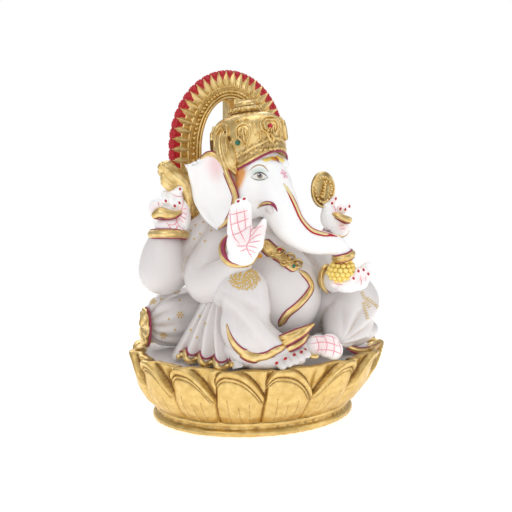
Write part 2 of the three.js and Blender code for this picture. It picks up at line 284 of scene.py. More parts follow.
# %% Paints and enamels
def make_paint(name, colour, darker, roughness=0.35, patch_mm=1.5):
    f = Finish(name)
    f.feed(Base_Color=f.blend(f.noise(patch_mm, 3.0), darker, colour))
    f.feed(Roughness=roughness + 0.1 * f.noise(2.0))
    f.bump(f.noise(0.8, 2.0), 0.05)
    return f.material


MARBLE = make_marble()
GOLD = make_gold("leaf_gold", (0.62, 0.41, 0.13), (0.92, 0.74, 0.39), (0.19, 0.09, 0.02), 0.27)
LOTUS_GOLD = make_gold("lotus_gold", (0.58, 0.38, 0.12), (0.84, 0.63, 0.27), (0.22, 0.10, 0.02), 0.3)
MAROON = make_paint("maroon_paint", (0.36, 0.03, 0.09), (0.24, 0.02, 0.06))
RED = make_paint("red_enamel", (0.62, 0.01, 0.025), (0.34, 0.005, 0.015))
HENNA = make_paint("henna_paint", (0.88, 0.20, 0.30), (0.80, 0.36, 0.40))
SWEET = make_paint("sweet_yellow", (1.0, 0.86, 0.34), (0.98, 0.70, 0.12), 0.4, 4.0)
GILT = make_paint("gold_paint", (0.78, 0.54, 0.15), (0.56, 0.35, 0.07))
GREEN_GEM = make_paint("gem_green", (0.01, 0.20, 0.13), (0.01, 0.10, 0.08), 0.12)
RED_GEM = make_paint("gem_red", (0.60, 0.01, 0.03), (0.40, 0.0, 0.02), 0.12)
print("finishes:", ", ".join(m.name for m in (MARBLE, GOLD, LOTUS_GOLD, MAROON, RED, HENNA, SWEET, GILT)))

# %% [markdown]
# ## The floor
# A white sweep of paper is the usual ground of a product picture. A plane far larger than the
# idol stands for it. Near the idol it is a real surface that takes a shadow and a faint
# reflection, and further out it turns into plain light, so that no horizon shows.

# %% The floor
def make_floor():
    """White near the idol, where it takes a soft shadow, fading to plain light further out."""
    f = Finish("floor_white", Base_Color=(0.86, 0.855, 0.85), Roughness=0.22, Emission_Color=(1, 1, 1),
               Emission_Strength=0.66)
    where = f.node("TexCoord", out="Object")
    distance = f.node("VectorMath", {"operation": "LENGTH"}, out="Value")
    f.tree.links.new(where.end, distance.end.node.inputs[0])
    glow = f.node("Emission")
    fade = f.node("MixShader")
    fade_inputs = fade.end.node.inputs
    plug(f.tree, fade_inputs[0], ((distance - 0.22) * 3.0).clipped())
    f.tree.links.new(f.shader.outputs[0], fade_inputs[1])
    f.tree.links.new(glow.end, fade_inputs[2])
    end = next(n for n in f.tree.nodes if n.bl_idname == "ShaderNodeOutputMaterial")
    f.tree.links.new(fade.end, end.inputs[0])
    return f.material


floor_bm = bmesh.new()
bmesh.ops.create_grid(floor_bm, x_segments=2, y_segments=2, size=6.0)
floor_mesh = bpy.data.meshes.new("floor")
floor_bm.to_mesh(floor_mesh)
floor_bm.free()
floor_mesh.materials.append(make_floor())
floor = bpy.data.objects.new("floor", floor_mesh)
bpy.context.scene.collection.objects.link(floor)
print("floor laid,", round(floor.dimensions.x, 1), "m wide")

# %% [markdown]
# ## Modelling tools
# A cast figure has no hard joins: limbs flow into the body. Such a form is roughed out from
# overlapping balls and fused with a voxel remesh, as a sculptor adds clay and smooths it.

# %% Curves through listed points
def curve_through(points, step=1.2, closed=False):
    """A smooth curve through rows of numbers: x, y, z and any more, such as a radius."""
    rows = np.array(points, float)
    if closed:
        rows = np.vstack([rows[-1], rows, rows[0], rows[1]])
    else:
        rows = np.vstack([2 * rows[0] - rows[1], rows, 2 * rows[-1] - rows[-2]])
    out = []
    for a, b, c, d in zip(rows[:-3], rows[1:-2], rows[2:-1], rows[3:]):
        count = max(2, round(np.linalg.norm((c - b)[:3]) / step))
        t = np.linspace(0, 1, count, endpoint=False)[:, None]
        cubic = (2 * b) + (c - a) * t + (2 * a - 5 * b + 4 * c - d) * t**2 + (3 * b - a - 3 * c + d) * t**3
        out.append(cubic / 2)
    if not closed:
        out.append(rows[-2][None])
    return np.vstack(out)


print("a path of 10 mm in steps of 1 mm has", len(curve_through([(0, 0, 0), (5, 0, 0), (10, 0, 0)], 1.0)),
      "points")

# %% [markdown]
# ## Clay
# Balls and tapering limbs are thrown together with no care for how they meet. The Remesh
# modifier wraps them in one skin of even squares, and Smooth melts the joints. Joining them
# with booleans instead would leave a crease at every meeting.

# %% Clay: balls and limbs fused into one skin
def ball(bm, at, radii, turn=(0, 0, 0)):
    tilt = Euler([math.radians(a) for a in turn])
    place = Matrix.LocRotScale(Vector(at), tilt, Vector(radii))
    bmesh.ops.create_icosphere(bm, subdivisions=4, radius=1, matrix=place)


def limb(bm, stations, step=2.0):
    for x, y, z, r in curve_through(stations, step):
        bmesh.ops.create_icosphere(bm, subdivisions=3, radius=r, matrix=Matrix.Translation((x, y, z)))


def mesh_of(bm, name="work"):
    mesh = bpy.data.meshes.new(name)
    bm.to_mesh(mesh)
    bm.free()
    return mesh


def with_modifiers(mesh, *settings):
    """The mesh after a list of (modifier type, {settings}) is applied."""
    work = bpy.data.objects.new("work", mesh)
    bpy.context.scene.collection.objects.link(work)
    for kind, values in settings:
        modifier = work.modifiers.new(kind.lower(), kind)
        for key, value in values.items():
            setattr(modifier, key, value)
    graph = bpy.context.evaluated_depsgraph_get()
    result = bpy.data.meshes.new_from_object(work.evaluated_get(graph))
    bpy.data.objects.remove(work)
    return result


def fuse(bm, voxel=1.0, smooth=6):
    remesh = {"mode": "VOXEL", "voxel_size": voxel}
    return with_modifiers(mesh_of(bm), ("REMESH", remesh), ("SMOOTH", {"factor": 0.5, "iterations": smooth}))


print("clay tools ready, working in millimetres")

# %% [markdown]
# ## Folds, hollows and brushwork
# Once a skin is even, a formula can move every point along its normal: that is how creases and
# folds are pressed in. The same points can carry numbers, called attributes, for the materials.
# NumPy works on all points at once, which keeps this quick.

# %% Pushing a surface in and out
def points_of(mesh):
    co = np.empty(len(mesh.vertices) * 3)
    mesh.vertices.foreach_get("co", co)
    normals = np.empty(len(mesh.vertices) * 3)
    mesh.vertex_normals.foreach_get("vector", normals)
    return co.reshape(-1, 3), normals.reshape(-1, 3)


def push(mesh, height):
    """Moves each point along its normal by height(points), in millimetres."""
    co, normals = points_of(mesh)
    co += normals * height(co)[:, None]
    mesh.vertices.foreach_set("co", co.ravel())
    mesh.update()


def near(co, at, radii):
    """1 at a place, fading smoothly to 0 at the given radii."""
    d = np.sqrt((((co - np.array(at)) / np.array(radii)) ** 2).sum(1))
    return np.clip(1 - d, 0, 1) ** 2 * (3 - 2 * np.clip(1 - d, 0, 1))


def hollows(mesh, rounds=12, depth=0.6):
    """How deep each point lies in a crease, from 0 to 1: the painter's wash and painted shade gather there.
    """
    co, normals = points_of(mesh)
    edges = np.empty(len(mesh.edges) * 2, int)
    mesh.edges.foreach_get("vertices", edges)
    a, b = edges[::2], edges[1::2]
    count = np.maximum(np.bincount(np.concatenate([a, b]), minlength=len(co)), 1)
    soft = co.copy()
    for _ in range(rounds):
        for axis in range(3):
            total = np.bincount(a, soft[b, axis], len(co)) + np.bincount(b, soft[a, axis], len(co))
            soft[:, axis] = (soft[:, axis] + total / count) / 2
    return np.clip(((soft - co) * normals).sum(1) / depth, 0, 1)


def store(mesh, name, values):
    layer = mesh.attributes.get(name) or mesh.attributes.new(name, "FLOAT", "POINT")
    layer.data.foreach_set("value", np.asarray(values, np.float32))


def paint(mesh, mask, colour):
    """Brushes a colour over what is painted already; mask is 0 to 1 for each point."""
    tint = mesh.attributes.get("paint") or mesh.attributes.new("paint", "FLOAT_COLOR", "POINT")
    rgba = np.zeros(len(mesh.vertices) * 4, np.float32)
    tint.data.foreach_get("color", rgba)
    rgba = rgba.reshape(-1, 4)
    mask = np.clip(mask, 0, 1)[:, None]
    total = mask + rgba[:, 3:] * (1 - mask)
    mixed = np.array(colour) * mask + rgba[:, :3] * rgba[:, 3:] * (1 - mask)
    rgba[:, :3] = np.where(total > 1e-4, mixed / np.maximum(total, 1e-4), 0)
    rgba[:, 3:] = total
    tint.data.foreach_set("color", rgba.ravel())
    store(mesh, "cover", total[:, 0])


print("folds, brushwork and wash ready")

# %% [markdown]
# ## Finishing a piece
# Every piece ends the same way: its faces are turned outwards, its creases are measured for the
# wash and the painted shade, it goes from millimetres to metres, gets its material, and is handed
# to the frame with the parts that it stands for.

# %% Finishing a piece
def finish_piece(name, mesh, material, nodes=(), wash_and_shade=(12, 0.6), outward=True):
    if outward:
        bm = bmesh.new()
        bm.from_mesh(mesh)
        bmesh.ops.recalc_face_normals(bm, faces=bm.faces)
        bm.to_mesh(mesh)
        bm.free()
    # Crease depth is stored for the materials: it carries the real wash and painted shade in the hollows.
    if wash_and_shade and not mesh.attributes.get("wash_and_shade"):
        store(mesh, "wash_and_shade", hollows(mesh, *wash_and_shade))
    mesh.transform(Matrix.Scale(MM, 4))
    mesh.shade_smooth()
    mesh.materials.clear()
    mesh.materials.append(material)
    piece = bpy.data.objects.new(name, mesh)
    mesh.name = name
    bpy.context.scene.collection.objects.link(piece)
    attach(piece, "root")
    if nodes:
        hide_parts(*nodes)
    print(name, len(mesh.vertices), "points")
    return piece


def skin(*meshes):
    """A tree for finding the nearest place on finished millimetre meshes."""
    joined = bmesh.new()
    for mesh in meshes:
        joined.from_mesh(mesh)
    tree = BVHTree.FromBMesh(joined)
    joined.free()
    return tree

# %% [markdown]
# ## Mouldings and painted lines
# Hems, bands and painted lines all run along a path and lie on something. A small oval is set
# square to the path at each step and bridged to the next, and where there is a surface the oval
# turns to lie flat on it. A curve with a bevel could not hug the body like that.

# %% Strips that follow a surface
def strip(bm, path, width, height, sides=10, taper=0.12, surface=None, lift=0.0, closed=False, up=None):
    """A rounded bead along a path. On a surface, it lies flat to it and follows it."""
    rows = curve_through([tuple(p)[:3] for p in path], 1.1, closed)
    places, ups = [], []
    for row in rows:
        point, normal = Vector(row), Vector(up or (0, -1, 0))
        if surface:
            found, normal, _, _ = surface.find_nearest(point)
            point = found
        places.append(point)
        ups.append(normal)
    count = len(places)
    rings = []
    for i in range(count):
        before = places[(i - 1) % count] if closed or i else places[0]
        after = places[(i + 1) % count] if closed or i < count - 1 else places[-1]
        ahead = (after - before).normalized()
        around = ups[(i - 1) % count] + ups[i] * 2 + ups[(i + 1) % count]
        normal = (around - ahead * around.dot(ahead)).normalized()
        side = ahead.cross(normal)
        share = min(i, count - 1 - i) / max(count * taper, 1)
        size = 1.0 if closed or not taper else math.sin(min(1.0, share + 0.12) * math.pi / 2)
        place = Matrix((side * width / 2 * size, normal * height * max(size, 0.4),
                        ahead)).transposed().to_4x4()
        place.translation = places[i] + normal * lift
        ring = bmesh.ops.create_circle(bm, segments=sides, radius=1, matrix=place)["verts"]
        rings.append({e for v in ring for e in v.link_edges})
    pairs = list(zip(rings, rings[1:]))
    if closed:
        pairs.append((rings[-1], rings[0]))
    for first, second in pairs:
        bmesh.ops.bridge_loops(bm, edges=list(first | second))
    if not closed:
        bmesh.ops.holes_fill(bm, edges=list(rings[0] | rings[-1]), sides=sides)


print("mouldings ready")

# %% [markdown]
# ## Drawing boards
# A painter steadies a hand against the piece and draws. Here a flat board is held in front of
# a surface, a drawing is made on it in millimetres, and each point is cast on to the surface
# with a ray. Eyes, nails, henna and flowers are all drawn this way.

# %% Drawings laid on a surface
class Patch:
    """A flat drawing board held against a surface: u runs to its right and v up, in millimetres."""

    def __init__(self, surface, at, facing, up=(0, 0, 1)):
        self.surface = surface
        self.at = Vector(at)
        self.out = Vector(facing).normalized()
        self.right = Vector(up).cross(self.out).normalized()
        self.up = self.out.cross(self.right)

    def space(self, u, v, w=0.0):
        """A place off the board: w stands out from it."""
        return self.at + self.right * u + self.up * v + self.out * w

    def point(self, u, v, lift=0.0):
        flat = self.space(u, v)
        hit, normal, _, _ = self.surface.ray_cast(flat + self.out * 30, -self.out, 60)
        if hit is None:
            hit, normal, _, _ = self.surface.find_nearest(flat)
        return hit + normal * lift

    def line(self, bm, points, width, height=0.3, taper=0.25, **more):
        strip(bm, [self.point(u, v) for u, v in points], width, height, 8, taper, self.surface, **more)

    def disc(self, bm, centre, radii, lift=0.2, shape=None, turn=0.0, segments=20):
        """A thin painted spot: shape bends the unit disc, then it is scaled, turned and laid down."""
        c, k = math.cos(turn), math.sin(turn)
        rings = max(6, segments // 2)
        for v in bmesh.ops.create_grid(bm, x_segments=rings, y_segments=rings, size=1)["verts"]:
            x = v.co.x * math.sqrt(1 - v.co.y**2 / 2)
            y = v.co.y * math.sqrt(1 - v.co.x**2 / 2)
            x, y = shape(x, y) if shape else (x, y)
            x, y = x * radii[0], y * radii[1]
            v.co = self.point(centre[0] + c * x - k * y, centre[1] + k * x + c * y, lift)


class Sight(Patch):
    """A board on the idol's axis, square to the camera: a drawing on it lands where it is seen."""

    def __init__(self, surface):
        super().__init__(surface, VIEW_TARGET / MM, (VIEW_FROM - VIEW_TARGET))

    def point(self, u, v, lift=0.0):
        eye = VIEW_FROM / MM
        flat = self.space(u, v)
        hit, normal, _, _ = self.surface.ray_cast(eye, flat - eye)
        if hit is None:
            hit, normal, _, _ = self.surface.find_nearest(flat)
        return hit + normal * lift

    def __call__(self, u, v, depth):
        """The place seen at u, v that lies that far behind the axis; nearer places are negative."""
        eye = VIEW_FROM / MM
        ray = self.space(u, v) - eye
        return eye + ray * ((depth - eye.dot(LEVEL_AHEAD)) / ray.dot(LEVEL_AHEAD))


def beads(bm, places, radius, surface=None, flat=1.0, subdivisions=2):
    """Small round beads, set with their middle on the surface."""
    for place in places:
        normal = surface.find_nearest(Vector(place))[1] if surface else Vector((0, -1, 0))
        turn = normal.to_track_quat("Z", "Y")
        matrix = Matrix.LocRotScale(Vector(place), turn, Vector((radius, radius, radius * flat)))
        bmesh.ops.create_icosphere(bm, subdivisions=subdivisions, radius=1, matrix=matrix)


def outlined(gold_bm, edge_bm, path, width, height, edge=1.5, **more):
    """A gilded moulding with a painted line along both sides."""
    strip(gold_bm, path, width, height, **more)
    strip(edge_bm, path, width + edge, height * 0.42, **more)


print("drawing boards ready; the camera looks from", tuple(VIEW_FROM / MM))

# %% [markdown]
# ## The lotus base
# The base is a shallow oval bowl on a moulded foot, both gilded. The foot is turned like a chair leg:
# half of its outline is drawn and spun round, and a faint ripple is pushed into it. Around the bowl
# stands one row of petals.

# %% The foot
BASE_LOW, BASE_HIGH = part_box("lotus_base")
RIM_X = (BASE_HIGH.x - BASE_LOW.x) / 2 / MM
RIM_Y = (BASE_HIGH.y - BASE_LOW.y) / 2 / MM
FOOT_X = (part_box("plinth")[1].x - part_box("plinth")[0].x) / 2 / MM - 0.6
OVAL = RIM_Y / RIM_X
SEAT_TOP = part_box("seat_slab")[1].z / MM
print("rim", RIM_X, RIM_Y, "seat top", SEAT_TOP)


def turned(profile, segments=96, oval=OVAL):
    """A closed profile of (radius, height) spun about Z into an oval turning."""
    bm = bmesh.new()
    verts = [bm.verts.new((r, 0, h)) for r, h in profile]
    edges = [bm.edges.new(pair) for pair in zip(verts, verts[1:])]
    bmesh.ops.spin(bm, geom=verts + edges, cent=(0, 0, 0), axis=(0, 0, 1), angle=2 * math.pi,
                   steps=segments, use_merge=True)
    bmesh.ops.remove_doubles(bm, verts=bm.verts, dist=0.01)
    bmesh.ops.recalc_face_normals(bm, faces=bm.faces)
    bmesh.ops.scale(bm, vec=(1, oval, 1), verts=bm.verts)
    return mesh_of(bm)


foot_profile = [(0, 0), (FOOT_X - 1, 0), (FOOT_X + 0.4, 1.2), (FOOT_X + 0.5, 3.4), (FOOT_X - 0.6, 5.0),
                (FOOT_X - 2.4, 5.8), (FOOT_X - 2.8, 7.0), (FOOT_X - 1.7, 8.2), (FOOT_X - 1.8, 9.8),
                (FOOT_X - 3.2, 11.2), (FOOT_X - 5, 11.3), (0, 11.3)]
foot_mesh = with_modifiers(turned(foot_profile), ("SUBSURF", {"levels": 1, "render_levels": 1}))
push(foot_mesh, lambda co: 0.25 * np.sin(co[:, 0] * 0.9 + co[:, 1] * 0.7) * np.sin(co[:, 1] * 0.4 + 2))
finish_piece("plinth_moulding", foot_mesh, LOTUS_GOLD, ["plinth"], (6, 0.5))

# %% [markdown]
# ## The petals
# Sixteen broad petals overlap round the bowl, each with a rolled lip that climbs to a tip at the
# rim, and fine veins. They could be modelled one by one, but they melt into the bowl like a
# carving, so the bowl is one fine sheet and a formula says how far each point stands out.

# %% The bowl and its petals
# The petals are a relief: the bowl is one sheet, and a height is worked out for every point of it.
BOWL = [(73, 10.5), (79, 16), (85, 25), (89, 35), (92, 45), (93.5, 50)]
BOWL_SHIFT = Vector((4.0, 0, 0))
PETALS = 16
TIP_AT = 0.80  # where across the petal its tip is
NOTCH = 0.50  # how far up the bowl the cut of a petal ends
LEAF_TALL, LEAF_WIDE = 36, 36  # a petal's height and width, to turn shares into millimetres
LIP_SHARE = 0.9  # the share of the sheet's rows that climb; the rest turn over the rim
TURNS, RISES = 960, 84


def bowl_radius(h):
    radii, heights = zip(*BOWL)
    return np.interp(h, heights, radii)


def petal_relief(around, w):
    """Height of the petals over the bowl.

    around is the angle from the front, and w is 0 at the foot and 1 at the rim.
    """
    place = abs(around) / (2 * math.pi / PETALS)
    u = place % 1.0
    leaf = int(place)
    climb = min(1.0, u / TIP_AT)
    top = NOTCH + (1.03 - NOTCH) * (1 - (1 - climb) ** 2.3) + 0.012 * math.sin(leaf * 2.3)
    if u > TIP_AT:
        top -= 0.16 * ((u - TIP_AT) / (1 - TIP_AT)) ** 2
    depth = (top - w) * LEAF_TALL
    belly = 4.3 * (1 - abs(2 * u - 1) ** 2.8) ** 0.8 * (0.55 + 0.45 * math.sin(math.pi * min(1, w + 0.12)))
    seam = min(u, 1 - u) * LEAF_WIDE
    groove = 1.5 * math.exp(-((seam / 0.9) ** 2))
    inner = -1.5 + 0.8 * math.cos(u * 4 * math.pi + w * 5 + leaf) * min(1, max(0, -depth / 5))
    lip = 2.3 * math.exp(-(((depth - 2.4) / 2.3) ** 4)) + 0.7 * math.exp(-(((depth - 6.3) / 0.9) ** 2))
    lip -= 0.9 * math.exp(-(((depth - 5.0) / 0.5) ** 2)) + 0.7 * math.exp(-(((depth - 7.6) / 0.6) ** 2))
    lip *= min(1, max(0, (w - NOTCH + 0.16) / 0.14))
    veins = 0.0
    for start, lean, low, high in ((0.30, 0.10, 0.02, 0.42), (0.52, 0.16, 0.02, 0.36),
                                   (0.74, 0.10, 0.02, 0.5)):
        off = (u - start - lean * (w - 0.4)) * LEAF_WIDE
        veins += 0.55 * math.exp(-((off / 0.55) ** 2)) * (1 if low < w < high else 0)
    inside = min(1, max(0, (depth + 0.6) / 1.2))
    return inside * (belly * 0.85 + lip - veins) + (1 - inside) * inner - groove * inside


lotus_bm = bmesh.new()
for v in bmesh.ops.create_grid(lotus_bm, x_segments=TURNS, y_segments=RISES, size=1)["verts"]:
    around = v.co.x * math.pi
    rise = (v.co.y + 1) / 2
    w = min(1.0, rise / LIP_SHARE)
    z = BOWL[0][1] + (BOWL[-1][1] - BOWL[0][1]) * w
    radius = bowl_radius(z) + petal_relief(around, w)
    if rise > LIP_SHARE:
        over = (rise - LIP_SHARE) / (1 - LIP_SHARE)
        radius -= 8 * over
        z += 0.9 * math.sin(over * math.pi) - 2.4 * over**3
    z += 0.5 * math.sin(around * 11) * math.sin(around * 5) * w
    v.co = BOWL_SHIFT * w + Vector((radius * math.sin(around), -radius * OVAL * math.cos(around), z))
bmesh.ops.remove_doubles(lotus_bm, verts=lotus_bm.verts, dist=0.01)
lotus_mesh = mesh_of(lotus_bm)
finish_piece("lotus_petals", lotus_mesh, LOTUS_GOLD, ["lotus_base"], (5, 0.35))

# %% [markdown]
# ## The top of the seat
# The idol sits on a flat white slab sunk in the bowl. It is a simple turning: a profile spun
# about the upright axis with the Spin operator, then scaled into an oval.

# %% The white top of the seat
seat_profile = [(0, 44), (89, 44), (90, 45), (90, SEAT_TOP - 2.6), (88.5, SEAT_TOP - 1.8),
                (0, SEAT_TOP - 1.6)]
seat_mesh = with_modifiers(turned(seat_profile), ("SUBSURF", {"levels": 1, "render_levels": 1}))
seat_mesh.transform(Matrix.Translation(BOWL_SHIFT))
finish_piece("seat_top", seat_mesh, MARBLE, ["seat_slab"])

# %% [markdown]
# ## The figure
# The body and its four arms are one casting, and the head flows into the trunk. Each is a pile
# of balls and limbs that is fused, smoothed, and then pressed with folds and painted.

# %% Torso and arms
body_bm = bmesh.new()
ball(body_bm, (2, -22, 92), (34, 39, 36))
ball(body_bm, (0, -10, 122), (30, 32, 28))
ball(body_bm, (0, 14, 130), (40, 22, 20))
ball(body_bm, (0, 0, 76), (38, 27, 26))
ball(body_bm, (-4, -6, 150), (18, 20, 16))
limb(body_bm, [(-26, 14, 134, 16), (-48, 18, 118, 16), (-65, 15, 107, 17), (-66, 14, 116, 16),
               (-65, 13.5, 126, 12.5), (-63.5, 13.5, 132, 9.5)])
limb(body_bm, [(-22, -4, 130, 17), (-42, -10, 108, 17), (-46, -22, 102, 15), (-42, -38, 110, 12),
               (-39, -48, 120, 9.5)])
limb(body_bm, [(26, 10, 134, 15), (46, 8, 118, 14), (55, -6, 120, 11), (58, -20, 131, 7.5)])
limb(body_bm, [(24, -8, 132, 14), (36, -24, 116, 13), (38, -42, 110, 11), (32, -56, 103, 9)])
body_mesh = fuse(body_bm, 1.1, 10)
body_skin = skin(body_mesh)
body_form = body_mesh.copy()  # kept in millimetres for the trims
# The wide reach and strong strength here lay painted shade between the arms, belly and legs.
finish_piece("body_and_arms", body_mesh, MARBLE,
             ["torso", "right_rear_arm", "right_front_arm", "left_rear_arm", "left_front_arm"], (30, 2.6))

# %% [markdown]
# ## The head
# The brow, cheeks and jaw are balls, and the trunk is a long tapering limb that sweeps down and
# across to the sweets. They are fused so that the trunk grows out of the face. Eye sockets are
# pressed in afterwards, soft colour is brushed on the temple and the lids, and a painted shade
# darkens the mouth under the jaw.

# %% Head and trunk
HEAD_AT = Vector((-7, -10, 176))
HEAD_TURN = math.radians(18)
HEAD_FRAME = Matrix.Translation(HEAD_AT) @ Matrix.Rotation(HEAD_TURN, 4, "Z")


def in_head(x, y, z):
    """A place given from the middle of the head: x to its own left, -y ahead."""
    return HEAD_FRAME @ Vector((x, y, z))


def ahead(angle, rise=0.0):
    """A direction out of the head, turned that many degrees from straight ahead to its own right."""
    a = math.radians(angle) - HEAD_TURN
    return Vector((-math.sin(a) * math.cos(rise), -math.cos(a) * math.cos(rise), math.sin(rise)))


TRUNK = [(-5, -26, 174, 15), (-4.5, -31, 168, 14.5), (-4, -37, 161, 14), (-3, -44, 152, 12.8),
         (-0.5, -50, 142.5, 11.4), (6, -55.5, 135.5, 10), (14, -60, 131.5, 8.7), (23, -62.5, 130, 7.6),
         (30, -64, 127.5, 6.6), (33.5, -65.5, 122.5, 6.0)]
head_bm = bmesh.new()
ball(head_bm, in_head(0, 0.5, 3), (22, 24.5, 22.5))
for s in (-1, 1):
    ball(head_bm, in_head(s * 9.5, -12.5, 5), (10, 10, 10))
    ball(head_bm, in_head(s * 12, -10, -12), (13, 15, 19), (8, 0, 0))
    ball(head_bm, in_head(s * 9, -19, -20), (8, 10, 9))
limb(head_bm, TRUNK, 1.5)
ball(head_bm, (-6.5, -33, 141), (6.5, 7, 6))
head_mesh = fuse(head_bm, 0.8, 9)
for s in (-1, 1):
    socket = np.array(in_head(s * 13, -23, 0))
    push(head_mesh, lambda co: -1.5 * near(co, socket, (9, 9, 6))
         + 1.1 * near(co, socket + [0, 0, 8], (10, 9, 5)))


def trunk_rings(co):
    """Shallow creases round the lower side of the trunk."""
    return -0.35 * np.maximum(np.sin(co[:, 2] * 1.1 + co[:, 0] * 0.5), 0) * near(co, (14, -52, 130),
                                                                                 (22, 9, 12))


push(head_mesh, trunk_rings)
# Painted shade: a dark brown patch darkens the mouth and chin under the trunk.
paint(head_mesh, 0.85 * near(points_of(head_mesh)[0], (-7, -36, 140), (10, 11, 9)), (0.25, 0.18, 0.13))
temple = np.array(in_head(-23, -8, -1))
flat_co = points_of(head_mesh)[0]
paint(head_mesh, np.clip(2.2 * near(flat_co, temple, (8, 8, 14)), 0, 1), (0.93, 0.45, 0.16))
eyelid = np.array(in_head(-15.5, -20, 2.6))
paint(head_mesh, 0.55 * near(flat_co, eyelid, (9, 9, 5)), (0.30, 0.52, 0.40))
paint(head_mesh, 0.55 * near(flat_co, in_head(21, -14, 3.5), (5, 7, 5)), (0.30, 0.52, 0.40))
head_skin = skin(head_mesh)
finish_piece("head_and_trunk", head_mesh, MARBLE, ["head", "trunk"], (30, 1.3))

# %% [markdown]
# ## The ears
# An ear is a thin sail between two curves, one along the cheek and one along its outer edge.
# A grid is stretched between them, bowed by a formula and given a wall with Solidify. The far
# ear is a mirrored copy. A gilded rim runs along the edge with a maroon line beside it.

# %% Ears


def curve_at(points, t):
    rows = curve_through(points, 0.8)
    place = t * (len(rows) - 1)
    low = min(int(place), len(rows) - 2)
    return Vector(rows[low] + (rows[low + 1] - rows[low]) * (place - low))


def ear_point(u, v):
    """The right ear as a sail: u from the face edge to the outer edge, v from the lobe to the top."""
    inner = curve_at(EAR_INNER, v)
    outer = curve_at(EAR_OUTER, v)
    here = inner * (1 - u) + outer * u
    bowl = math.sin(math.pi * min(u * 1.05, 1)) * math.sin(math.pi * min(v * 1.1, 1)) * 7
    flare = 3.5 * max(0, (u - 0.75) / 0.25) ** 2 * math.sin(v * 7)
    return here + Vector((0.45, 0.85, 0)) * bowl + Vector((-0.7, -0.5, 0.1)) * flare


EAR_INNER = [(-38, -17, 139), (-34, -25, 146), (-31.5, -28, 154), (-30, -28, 162), (-32, -26, 170),
             (-33.5, -22, 178), (-34, -17, 185), (-38, -10, 190.5), (-42.5, -6, 189), (-46.5, -2, 183.5)]
EAR_OUTER = [(-38, -17, 139), (-41, -10, 143), (-44.5, -4, 149), (-47, 0, 155), (-49, 2, 161), (-50, 2, 167),
             (-51, 2, 173), (-52, 2, 178), (-53, 1, 181), (-54, 0, 183)]
EAR_STEPS = 44
ear_bm = bmesh.new()
for v in bmesh.ops.create_grid(ear_bm, x_segments=EAR_STEPS, y_segments=EAR_STEPS, size=1)["verts"]:
    v.co = ear_point((v.co.x + 1) / 2, (v.co.y + 1) / 2)
bmesh.ops.remove_doubles(ear_bm, verts=ear_bm.verts, dist=0.05)
bmesh.ops.recalc_face_normals(ear_bm, faces=ear_bm.faces)
solid_ear = ("SOLIDIFY", {"thickness": 3.2, "offset": 0.0})
soft_ear = ("SMOOTH", {"factor": 0.5, "iterations": 4})
right_ear_mesh = with_modifiers(mesh_of(ear_bm), solid_ear, soft_ear)
right_rim = [ear_point(0.02, v / 14) for v in range(15)]
EAR_MIRROR = (
    Matrix.Translation((-6.5, -10, -2.5))
    @ Matrix.Rotation(math.radians(7), 4, "Z")
    @ Matrix.Rotation(math.radians(-2.5), 4, "Y")
)


def mirrored(mesh):
    """A copy flipped across the middle of the head."""
    copy = mesh.copy()
    flip = EAR_MIRROR @ Matrix.Scale(-1, 4, (1, 0, 0)) @ EAR_MIRROR.inverted()
    copy.transform(flip)
    copy.flip_normals()
    return copy


left_ear_mesh = mirrored(right_ear_mesh)
rim_bm, rim_edge_bm = bmesh.new(), bmesh.new()
left_rim_bm, left_edge_bm = bmesh.new(), bmesh.new()
outlined(left_rim_bm, left_edge_bm, right_rim[9:], 3.0, 2.0, 1.6, surface=None, up=(-0.7, -0.7, 0.1),
         taper=0.2)
left_rim_mesh, left_edge_mesh = mirrored(mesh_of(left_rim_bm)), mirrored(mesh_of(left_edge_bm))
outlined(rim_bm, rim_edge_bm, right_rim, 3.8, 2.2, 1.6, surface=None, up=(-0.7, -0.7, 0.1), taper=0.2)
rim_mesh = mesh_of(rim_bm)
rim_edge_mesh = mesh_of(rim_edge_bm)
for side, ear, rim, rim_edge in (
    ("right", right_ear_mesh, rim_mesh, rim_edge_mesh),
    ("left", left_ear_mesh, left_rim_mesh, left_edge_mesh),
):
    co = points_of(ear)[0]
    top = Vector((-42, -10, 183)) if side == "right" else Vector((31, -6, 183))
    # Painted shade: a soft grey-beige band down the fold of the ear; the pink below is the ear's own blush.
    paint(ear, 0.3 * near(co, top + Vector((-7 if side == "right" else 7, 5, -16)), (6, 6, 30)),
          (0.50, 0.44, 0.40))
    paint(ear, 0.75 * near(co, top + Vector((3 if side == "right" else -3, -3, -1)), (13, 13, 17)),
          (0.90, 0.55, 0.58))
    finish_piece(side + "_ear_fan", ear, MARBLE, [side + "_ear"], (20, 1.5))
    finish_piece(side + "_ear_rim", rim, GOLD, (), (6, 0.5))
    finish_piece(side + "_ear_rim_line", rim_edge, MAROON, (), None)

# %% [markdown]
# ## The face
# Eyes and brows are painted. Each is drawn on a board held in front of the head and laid on it.

# %% Eyes, brows, tusks and marks
LASH = make_paint("lash_paint", (0.05, 0.05, 0.06), (0.10, 0.09, 0.08))
LOWER_LASH = make_paint("lower_lash_paint", (0.22, 0.30, 0.22), (0.15, 0.18, 0.13))
EYE_WHITE = make_paint("eye_white", (0.93, 0.91, 0.88), (0.86, 0.80, 0.74), 0.25)
IRIS = make_paint("iris_paint", (0.46, 0.38, 0.30), (0.25, 0.20, 0.16), 0.2, 0.6)
PUPIL = make_paint("pupil_paint", (0.02, 0.03, 0.09), (0.01, 0.02, 0.05), 0.15)
BROW = make_paint("brow_paint", (0.52, 0.36, 0.13), (0.40, 0.25, 0.08))
YELLOW = make_paint("yellow_paint", (0.97, 0.82, 0.22), (0.93, 0.72, 0.16))
STRIP_GOLD = make_paint("pale_gold_paint", (0.86, 0.76, 0.42), (0.74, 0.60, 0.26))
PINK = make_paint("pink_paint", (0.95, 0.38, 0.55), (0.92, 0.50, 0.62))
